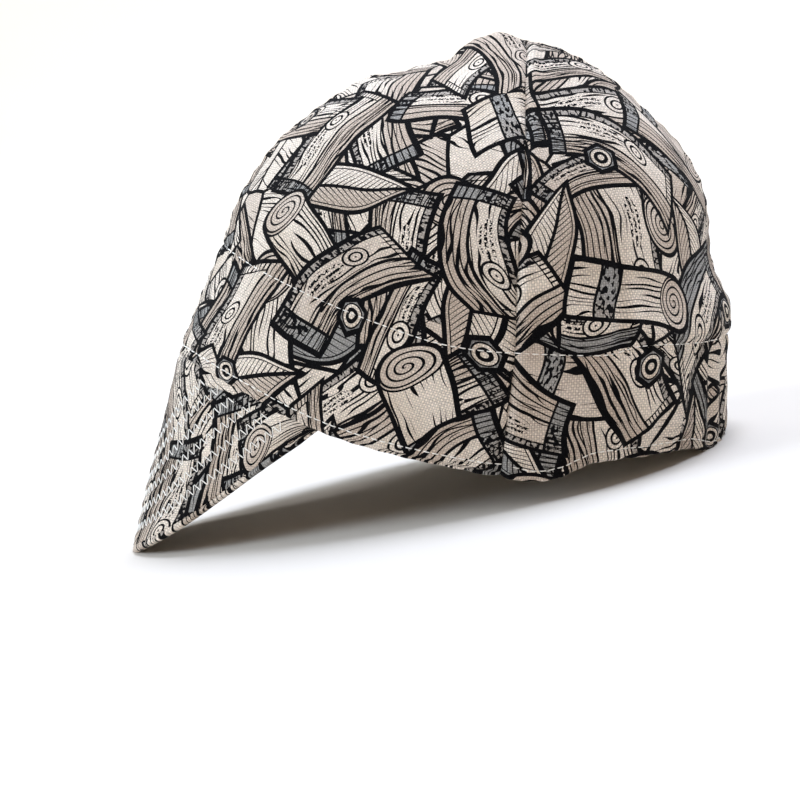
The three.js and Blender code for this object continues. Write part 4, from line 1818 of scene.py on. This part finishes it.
@dataclass
class StitchModel:
    """One stitch, modelled once as a rounded length of thread, and laid along seams.

    Its thread is about one and a half times as thick as the real one, so that it shows in the picture.
    """

    radius: float = 0.24
    sections: int = 6
    rings: int = 6
    roundness: int = 4
    fullest: float = 1.6
    arch: float = 0.55
    flatness: float = 0.8

    def points_and_faces(self) -> tuple[Array, list[list[int]]]:
        """Models the stitch with its length along X from -0.5 to 0.5 and a radius of 1.

        Returns:
            Its points and its faces.
        """
        bpy.ops.object.select_all(action="DESELECT")
        bpy.ops.mesh.primitive_uv_sphere_add(segments=self.sections, ring_count=self.rings, radius=1.0)
        ball = bpy.context.object
        bpy.ops.object.mode_set(mode="EDIT")
        bpy.ops.mesh.select_all(action="SELECT")
        bpy.ops.transform.resize(value=(1, 1, 0.5))
        bpy.ops.mesh.select_all(action="DESELECT")
        bpy.ops.object.mode_set(mode="OBJECT")
        mesh = ball.data
        points = np.array([vertex.co for vertex in mesh.vertices])
        faces = [list(face.vertices) for face in mesh.polygons]
        bpy.data.objects.remove(ball)
        bpy.data.meshes.remove(mesh)
        near_pole, least_width = 0.999, 0.05
        end = np.abs(points[:, 2] * 2)
        ball_width = np.maximum(np.sqrt(1 - np.minimum(end**2, near_pole)), least_width)
        blunt_width = (1 - end**self.roundness) ** (1 / self.roundness)
        fullness = np.clip(blunt_width / ball_width, 0, self.fullest)
        return np.stack([points[:, 2], points[:, 0] * fullness, points[:, 1] * fullness], axis=1), faces

    def row(
        self, name: str, starts: Array, ends: Array, out: Array, form: CapForm,
        material: Material, sink: float = 0.1
    ) -> Object:
        """Lays a stitch between each pair of needle holes.

        Args:
            name: the piece's name.
            starts: where each stitch comes up, as worn, in mm.
            ends: where it goes down.
            out: unit vectors out of the cloth there.
            form: the cap, which knows how it lies.
            material: the thread.
            sink: how far the thread's ends sink in the cloth, in mm.

        Returns:
            All stitches of the row as one object.
        """
        points, faces = self.points_and_faces()
        length = np.linalg.norm(ends - starts, axis=1)
        way = unit(ends - starts)
        side = unit(np.cross(out, way))
        up = np.cross(way, side)
        arch = (1 - (2 * points[:, 0]) ** 2) * (self.radius * self.arch + sink) - sink
        placed = ((starts + ends) / 2)[:, None] + way[:, None] * points[:, :1] * length[:, None, None]
        placed = placed + side[:, None] * (points[:, 1:2] * self.radius)
        placed = placed + up[:, None] * (points[:, 2] * self.radius * self.flatness + arch)[:, None]
        count = len(points)
        polygons = [[i + k * count for i in face] for k in range(len(starts)) for face in faces]
        mesh = bpy.data.meshes.new(name)
        mesh.from_pydata(form.lay_down(placed.reshape(-1, 3), pressed=False).tolist(), [], polygons)
        mesh.materials.append(material)
        mesh.polygons.foreach_set("use_smooth", np.ones(len(polygons), dtype=bool))
        mesh.update()
        obj = bpy.data.objects.new(name, mesh)
        bpy.context.scene.collection.objects.link(obj)
        return obj


@dataclass
class Stitching:
    """Every visible row of stitches: the sweatband's seam, the hem and the bill's zigzag quilting."""

    form: CapForm
    relief: ClothRelief
    bill: Bill
    model: StitchModel
    pitch: float = 3.3
    gap_share: float = 0.2
    round_readings: int = 1441
    zigzag_pitch: float = 2.05
    zigzag_half: float = 1.95
    zigzag_lift: float = 0.12
    zigzag_sink: float = 0.05
    zigzag_grid: tuple[int, int] = (233, 121)

    def at_spacing(self, path: Array, values: Array, spacing: float) -> Array:
        """Reads values at even spacing along a path.

        Args:
            path: points of the path in mm.
            values: what to read, one row for each point.
            spacing: distance between readings in mm.

        Returns:
            The values at each reading.
        """
        walked = running_length(path, 0)
        places = np.arange(0, walked[-1], spacing)
        return np.stack([np.interp(places, walked, values[:, k]) for k in range(values.shape[1])], axis=1)

    def crown_point(self, azimuth: Array, share: Array) -> tuple[Array, Array]:
        """Places on the crown's folded outer face.

        Args:
            azimuth: degrees from the front.
            share: share of the way down to the rim.

        Returns:
            Positions as worn, and the ways out of the cloth there.
        """
        out = self.form.crown_out(azimuth, share)
        height = self.relief.crown(azimuth, share)
        return self.form.crown(azimuth, share) + out * height[..., None], out

    def round_crown(self, name: str, share_at: Callable[[Array], Array], thread: Material) -> Object:
        """Makes a straight row all the way round the crown.

        Args:
            name: the piece's name.
            share_at: gives the row's share for azimuths.
            thread: the thread's material.

        Returns:
            The row as one object.
        """
        azimuth = np.linspace(-180, 180, self.round_readings)
        path = self.form.crown(azimuth, share_at(azimuth))
        holes = self.at_spacing(path, azimuth[:, None], self.pitch)[:, 0]
        step = np.diff(holes)
        start, end = holes[:-1] + step * self.gap_share / 2, holes[1:] - step * self.gap_share / 2
        first, out = self.crown_point(start, share_at(start))
        last, _ = self.crown_point(end, share_at(end))
        return self.model.row(name, first, last, out, self.form, thread)

    def zigzag_rows(self, name: str, under: bool, thread: Material) -> Object:
        """Makes the bill's zigzag rows, even in their distance from its edge.

        Args:
            name: the piece's name.
            under: whether these are on the bill's lower face.
            thread: the thread's material.

        Returns:
            All rows as one object.
        """
        form, bill = self.form, self.bill
        limit = form.bill_end_azimuth
        azimuth = np.linspace(-limit, limit, self.zigzag_grid[0])
        out = np.linspace(0, 1, self.zigzag_grid[1])
        distance = bill.edge_distance(*np.meshgrid(azimuth, out))
        rows = []
        for number in range(bill.quilt_rows):
            target = bill.quilt_first + number * bill.quilt_step
            reached = distance[0] > target + self.zigzag_half
            place = np.array([np.interp(-target, -distance[:, i], out) for i in range(len(azimuth))])
            azimuths, places = azimuth[reached], place[reached]
            path = form.bill(azimuths, places)
            line = self.at_spacing(path, np.stack([azimuths, places], axis=1), self.zigzag_pitch)
            middle, normal = self.on_bill(line[:, 0], line[:, 1], under)
            sideways = unit(np.cross(normal, unit(np.gradient(middle, axis=0))))
            swing = np.where(np.arange(len(middle)) % 2, 1.0, -1.0)[:, None] * self.zigzag_half
            corners = middle + sideways * swing
            rows.append((corners[:-1], corners[1:], normal[:-1]))
        starts, ends, ways = (np.concatenate(part) for part in zip(*rows))
        return self.model.row(name, starts, ends, ways, form, thread, self.zigzag_sink)

    def on_bill(self, azimuth: Array, out: Array, under: bool) -> tuple[Array, Array]:
        """Places for the thread on one of the bill's quilted faces.

        Args:
            azimuth: degrees from the front of the rim.
            out: share of the way to the bill's edge.
            under: whether the lower face is meant.

        Returns:
            Positions as worn, and the ways out of the cloth there.
        """
        form = self.form
        plain, normal = form.bill(azimuth, out), form.bill_out(azimuth, out)
        lift = (self.bill.puff(azimuth, out) + self.zigzag_lift)[..., None]
        if not under:
            return plain + normal * lift, normal
        return plain - normal * (2 * form.bill_ply + form.ply_gap + lift), -normal


@dataclass(frozen=True)
class StudioLamp:
    """One soft square lamp: its place, its aim and its width in metres, its watts and its tint."""

    name: str
    place: tuple[float, float, float]
    aim: tuple[float, float, float]
    size: float
    power: float
    colour: str


STUDIO_LAMPS = (
    StudioLamp("key_overhead", (-0.3, 0.8, 2.4), (0.0, 0.0, 0.08), 1.4, 95.0, "#E0EBFF"),
    StudioLamp("front_soft", (0.3, -2.3, 1.4), (0.0, 0.0, 0.08), 1.4, 65.0, "#E2F0FF"),
    StudioLamp("fill_by_camera", (1.8, 0.3, 0.7), (0.0, 0.0, 0.08), 1.4, 4.0, "#FFD4A8"),
    StudioLamp("backdrop_wash", (-3.2, 0.0, 3.0), (-4.8, 0.0, 0.3), 3.0, 170.0, "#FFFFFF"),
    StudioLamp("wall_wash_back", (0.0, 3.4, 1.9), (0.0, 6.2, 0.8), 1.2, 50.0, "#FFFFFF"),
    StudioLamp("wall_wash_front", (0.0, -3.4, 1.9), (0.0, -6.2, 0.8), 1.2, 50.0, "#FFFFFF"),
    StudioLamp("wall_wash_camera", (3.4, 0.0, 1.9), (6.2, 0.0, 0.8), 1.2, 50.0, "#FFFFFF"),
)


@dataclass
class Studio:
    """Pale floor, soft light and the camera, at the photo's angle to the cap."""

    form: CapForm
    camera_distance: float = 1100.0
    camera_rise: float = 8.0
    focal_pixels: float = 2820.0
    frame_pixels: float = 800.0
    sensor: float = 36.0
    clip: tuple[float, float] = (0.01, 50.0)
    aim_y: float = -21.0
    aim_z: float = 0.0
    floor_radius: float = 3.5
    floor_corners: int = 96
    wall_radius: float = 3.0
    wall_steps: int = 12
    smooth_under: float = 40.0
    sky_colour: str = "#FFFCF7"
    sky_strength: tuple[float, float] = (0.05, 0.35)
    bright_way: tuple[float, float, float] = (0.12, -0.38, 0.92)
    bright_range: tuple[float, float] = (-0.2, 1.0)

    def camera(self) -> Object:
        """Makes the camera, upright to the worn cap and so rolled with the cap as it lies.

        Returns:
            The camera, set as the scene's.
        """
        rise = math.radians(self.camera_rise)
        eye = np.array([math.cos(rise), 0, math.sin(rise)]) * self.camera_distance
        above = eye + np.array([0, 0, 100.0])
        aim = np.array([0, self.aim_y, self.aim_z])
        eye, above, aim = (Vector(self.form.lay_down(p[None], pressed=False)[0]) for p in (eye, above, aim))
        back = (eye - aim).normalized()
        right = (above - eye).cross(back).normalized()
        up = back.cross(right)
        data = bpy.data.cameras.new("camera")
        data.sensor_width = self.sensor
        data.lens = self.focal_pixels / self.frame_pixels * self.sensor
        data.clip_start, data.clip_end = self.clip
        camera = bpy.data.objects.new("camera", data)
        turn = Matrix((right, up, back)).transposed().to_4x4()
        camera.matrix_world = Matrix.Translation(eye) @ turn
        bpy.context.scene.collection.objects.link(camera)
        bpy.context.scene.camera = camera
        return camera

    def floor(self, material: Material) -> Object:
        """Makes a wide round floor whose rim curves up far from the cap, as a studio's wall does.

        Args:
            material: the paint.

        Returns:
            The floor.
        """
        bpy.ops.object.select_all(action="DESELECT")
        bpy.ops.mesh.primitive_circle_add(
            vertices=self.floor_corners, radius=self.floor_radius, fill_type="NGON"
        )
        floor = bpy.context.object
        floor.name = "floor"
        bpy.ops.object.mode_set(mode="EDIT")
        bpy.ops.mesh.select_mode(type="EDGE")
        bpy.ops.mesh.select_all(action="SELECT")
        bpy.ops.mesh.region_to_loop()
        angles = np.linspace(0, math.pi / 2, self.wall_steps + 1)
        radii = self.floor_radius + self.wall_radius * np.sin(angles)
        heights = self.wall_radius * (1 - np.cos(angles))
        for step in range(self.wall_steps):
            rise = heights[step + 1] - heights[step]
            spread = radii[step + 1] / radii[step]
            bpy.ops.mesh.extrude_edges_move(TRANSFORM_OT_translate={"value": (0, 0, rise)})
            bpy.ops.transform.resize(value=(spread, spread, 1), center_override=(0, 0, 0))
        bpy.ops.object.mode_set(mode="OBJECT")
        bpy.ops.object.shade_smooth_by_angle(angle=math.radians(self.smooth_under))
        floor.data.materials.append(material)
        return floor

    def lights(self) -> None:
        """Sets soft lamps overhead and in front, washes on the walls, and a faint sky brightest above."""
        bpy.context.scene.view_settings.view_transform = "Standard"
        world = bpy.data.worlds.new("white_sky")
        bpy.context.scene.world = world
        world.use_nodes = True
        tree = world.node_tree
        sky = tree.nodes["Background"]
        sky.inputs["Color"].default_value = linear(self.sky_colour)
        way = add(tree, "TexCoord").outputs["Generated"]
        toward = add(tree, "VectorMath DOT_PRODUCT", (way, self.bright_way))
        strength = add(tree, "MapRange", (toward.outputs["Value"], *self.bright_range, *self.sky_strength))
        tree.links.new(strength.outputs[0], sky.inputs["Strength"])
        for plan in STUDIO_LAMPS:
            lamp = bpy.data.lights.new(plan.name, "AREA")
            lamp.size = plan.size
            lamp.energy = plan.power
            lamp.color = linear(plan.colour)[:3]
            holder = bpy.data.objects.new(plan.name, lamp)
            holder.location = plan.place
            onward = Vector(plan.aim) - holder.location
            holder.rotation_euler = onward.to_track_quat("-Z", "Y").to_euler()
            bpy.context.scene.collection.objects.link(holder)


def finish_piece(obj: Object, slot: str, *nodes: str) -> None:
    """Rides a piece on the cap and hides the solids that it stands for.

    Args:
        obj: the piece.
        slot: the slot of its finish; not used.
        nodes: the solids that it replaces.
    """
    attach(obj, "root")
    if nodes:
        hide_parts(*nodes)
    LOG.info("made %s with %d faces", obj.name, len(obj.data.polygons))


def flat_size(obj: Object) -> tuple[tuple[float, float], float]:
    """Size and area of a sheet's cut, read from its cut map.

    Args:
        obj: the sheet.

    Returns:
        Width and length, and area, in metres and square metres.
    """
    flat = np.empty(len(obj.data.loops) * 2)
    obj.data.uv_layers[CUT_MAP].data.foreach_get("uv", flat)
    flat = flat.reshape(-1, 2)
    width, length = np.ptp(flat, axis=0)
    corners = flat.reshape(-1, 4, 2)
    spans = corners[:, 2] - corners[:, 0], corners[:, 3] - corners[:, 1]
    areas = np.abs(spans[0][:, 0] * spans[1][:, 1] - spans[0][:, 1] * spans[1][:, 0]) / 2
    return (float(width), float(length)), float(min(areas.sum() / 2, width * length))


CUT_ORIGINS = {
    (Side.LEFT, True): (20, 310),
    (Side.RIGHT, True): (640, 120),
    (Side.LEFT, False): (330, -240),
    (Side.RIGHT, False): (-410, 70),
}
SWEATBAND_COLUMNS = 420
CASING_COLUMNS = 300
CASING_CRIMP = 0.7


def main() -> None:
    """Builds the cap piece by piece."""
    logging.basicConfig(level=logging.INFO)
    form = CapForm()
    studio = Studio(form)
    studio.camera()
    relief = ClothRelief(form)
    printed = WovenCotton("printed_cotton_canvas", "#EADFCD", printed=CanvasPrint()).material()
    reverse = WovenCotton("canvas_reverse", "#D9D0C0").material()
    cotton = WovenCotton("plain_band_cotton", "#DDD3C2", yarn_pitch=0.7, bump_height=0.08).material()
    thread = SewingThread().material()

    crown = Crown(form, relief)
    for (side, front), origin in CUT_ORIGINS.items():
        gore = crown.gore(side, front, origin, [printed, reverse])
        finish_piece(gore, "printed_canvas", gore.name.replace("gore", "crown"))
        flat, area = flat_size(gore)

    bill = Bill(form, relief)
    depth, lower = form.bill_ply, form.bill_ply + form.ply_gap
    upper = bill.ply("bill_top_ply", 0, depth, 1, printed)
    finish_piece(upper, "printed_canvas", "bill_upper")
    under = bill.ply("bill_low_ply", lower, lower + depth, -1, printed)
    finish_piece(under, "bill_under_canvas", "bill_under")

    bands = RimBands(form, relief)
    reach = form.elastic_from
    first, last = reach + bands.end_gap, 360 - reach - bands.end_gap
    sweat = bands.band("cotton_sweatband", -reach, reach, SWEATBAND_COLUMNS, 0.0, cotton)
    finish_piece(sweat, "band_cotton", "sweatband")
    casing = bands.band("gathered_casing", first, last, CASING_COLUMNS, CASING_CRIMP, cotton)
    finish_piece(casing, "band_cotton", "elastic_casing")
    for band, held in ((sweat, "stretched"), (casing, "gathered")):
        flat, area = flat_size(band)

    sewing = Stitching(form, relief, bill, StitchModel())
    hem_share = 1 - relief.hem_stitch / form.meridian
    rows = (
        sewing.round_crown("band_stitches", form.band_share, thread),
        sewing.round_crown("hem_stitches", lambda azimuth: np.full_like(azimuth, hem_share), thread),
        sewing.zigzag_rows("bill_zigzag_upper", False, thread),
        sewing.zigzag_rows("bill_zigzag_under", True, thread),
    )
    for row in rows:
        finish_piece(row, "band_cotton")

    studio.floor(MattPaint().material())
    studio.lights()


if __name__ == "__main__":
    main()
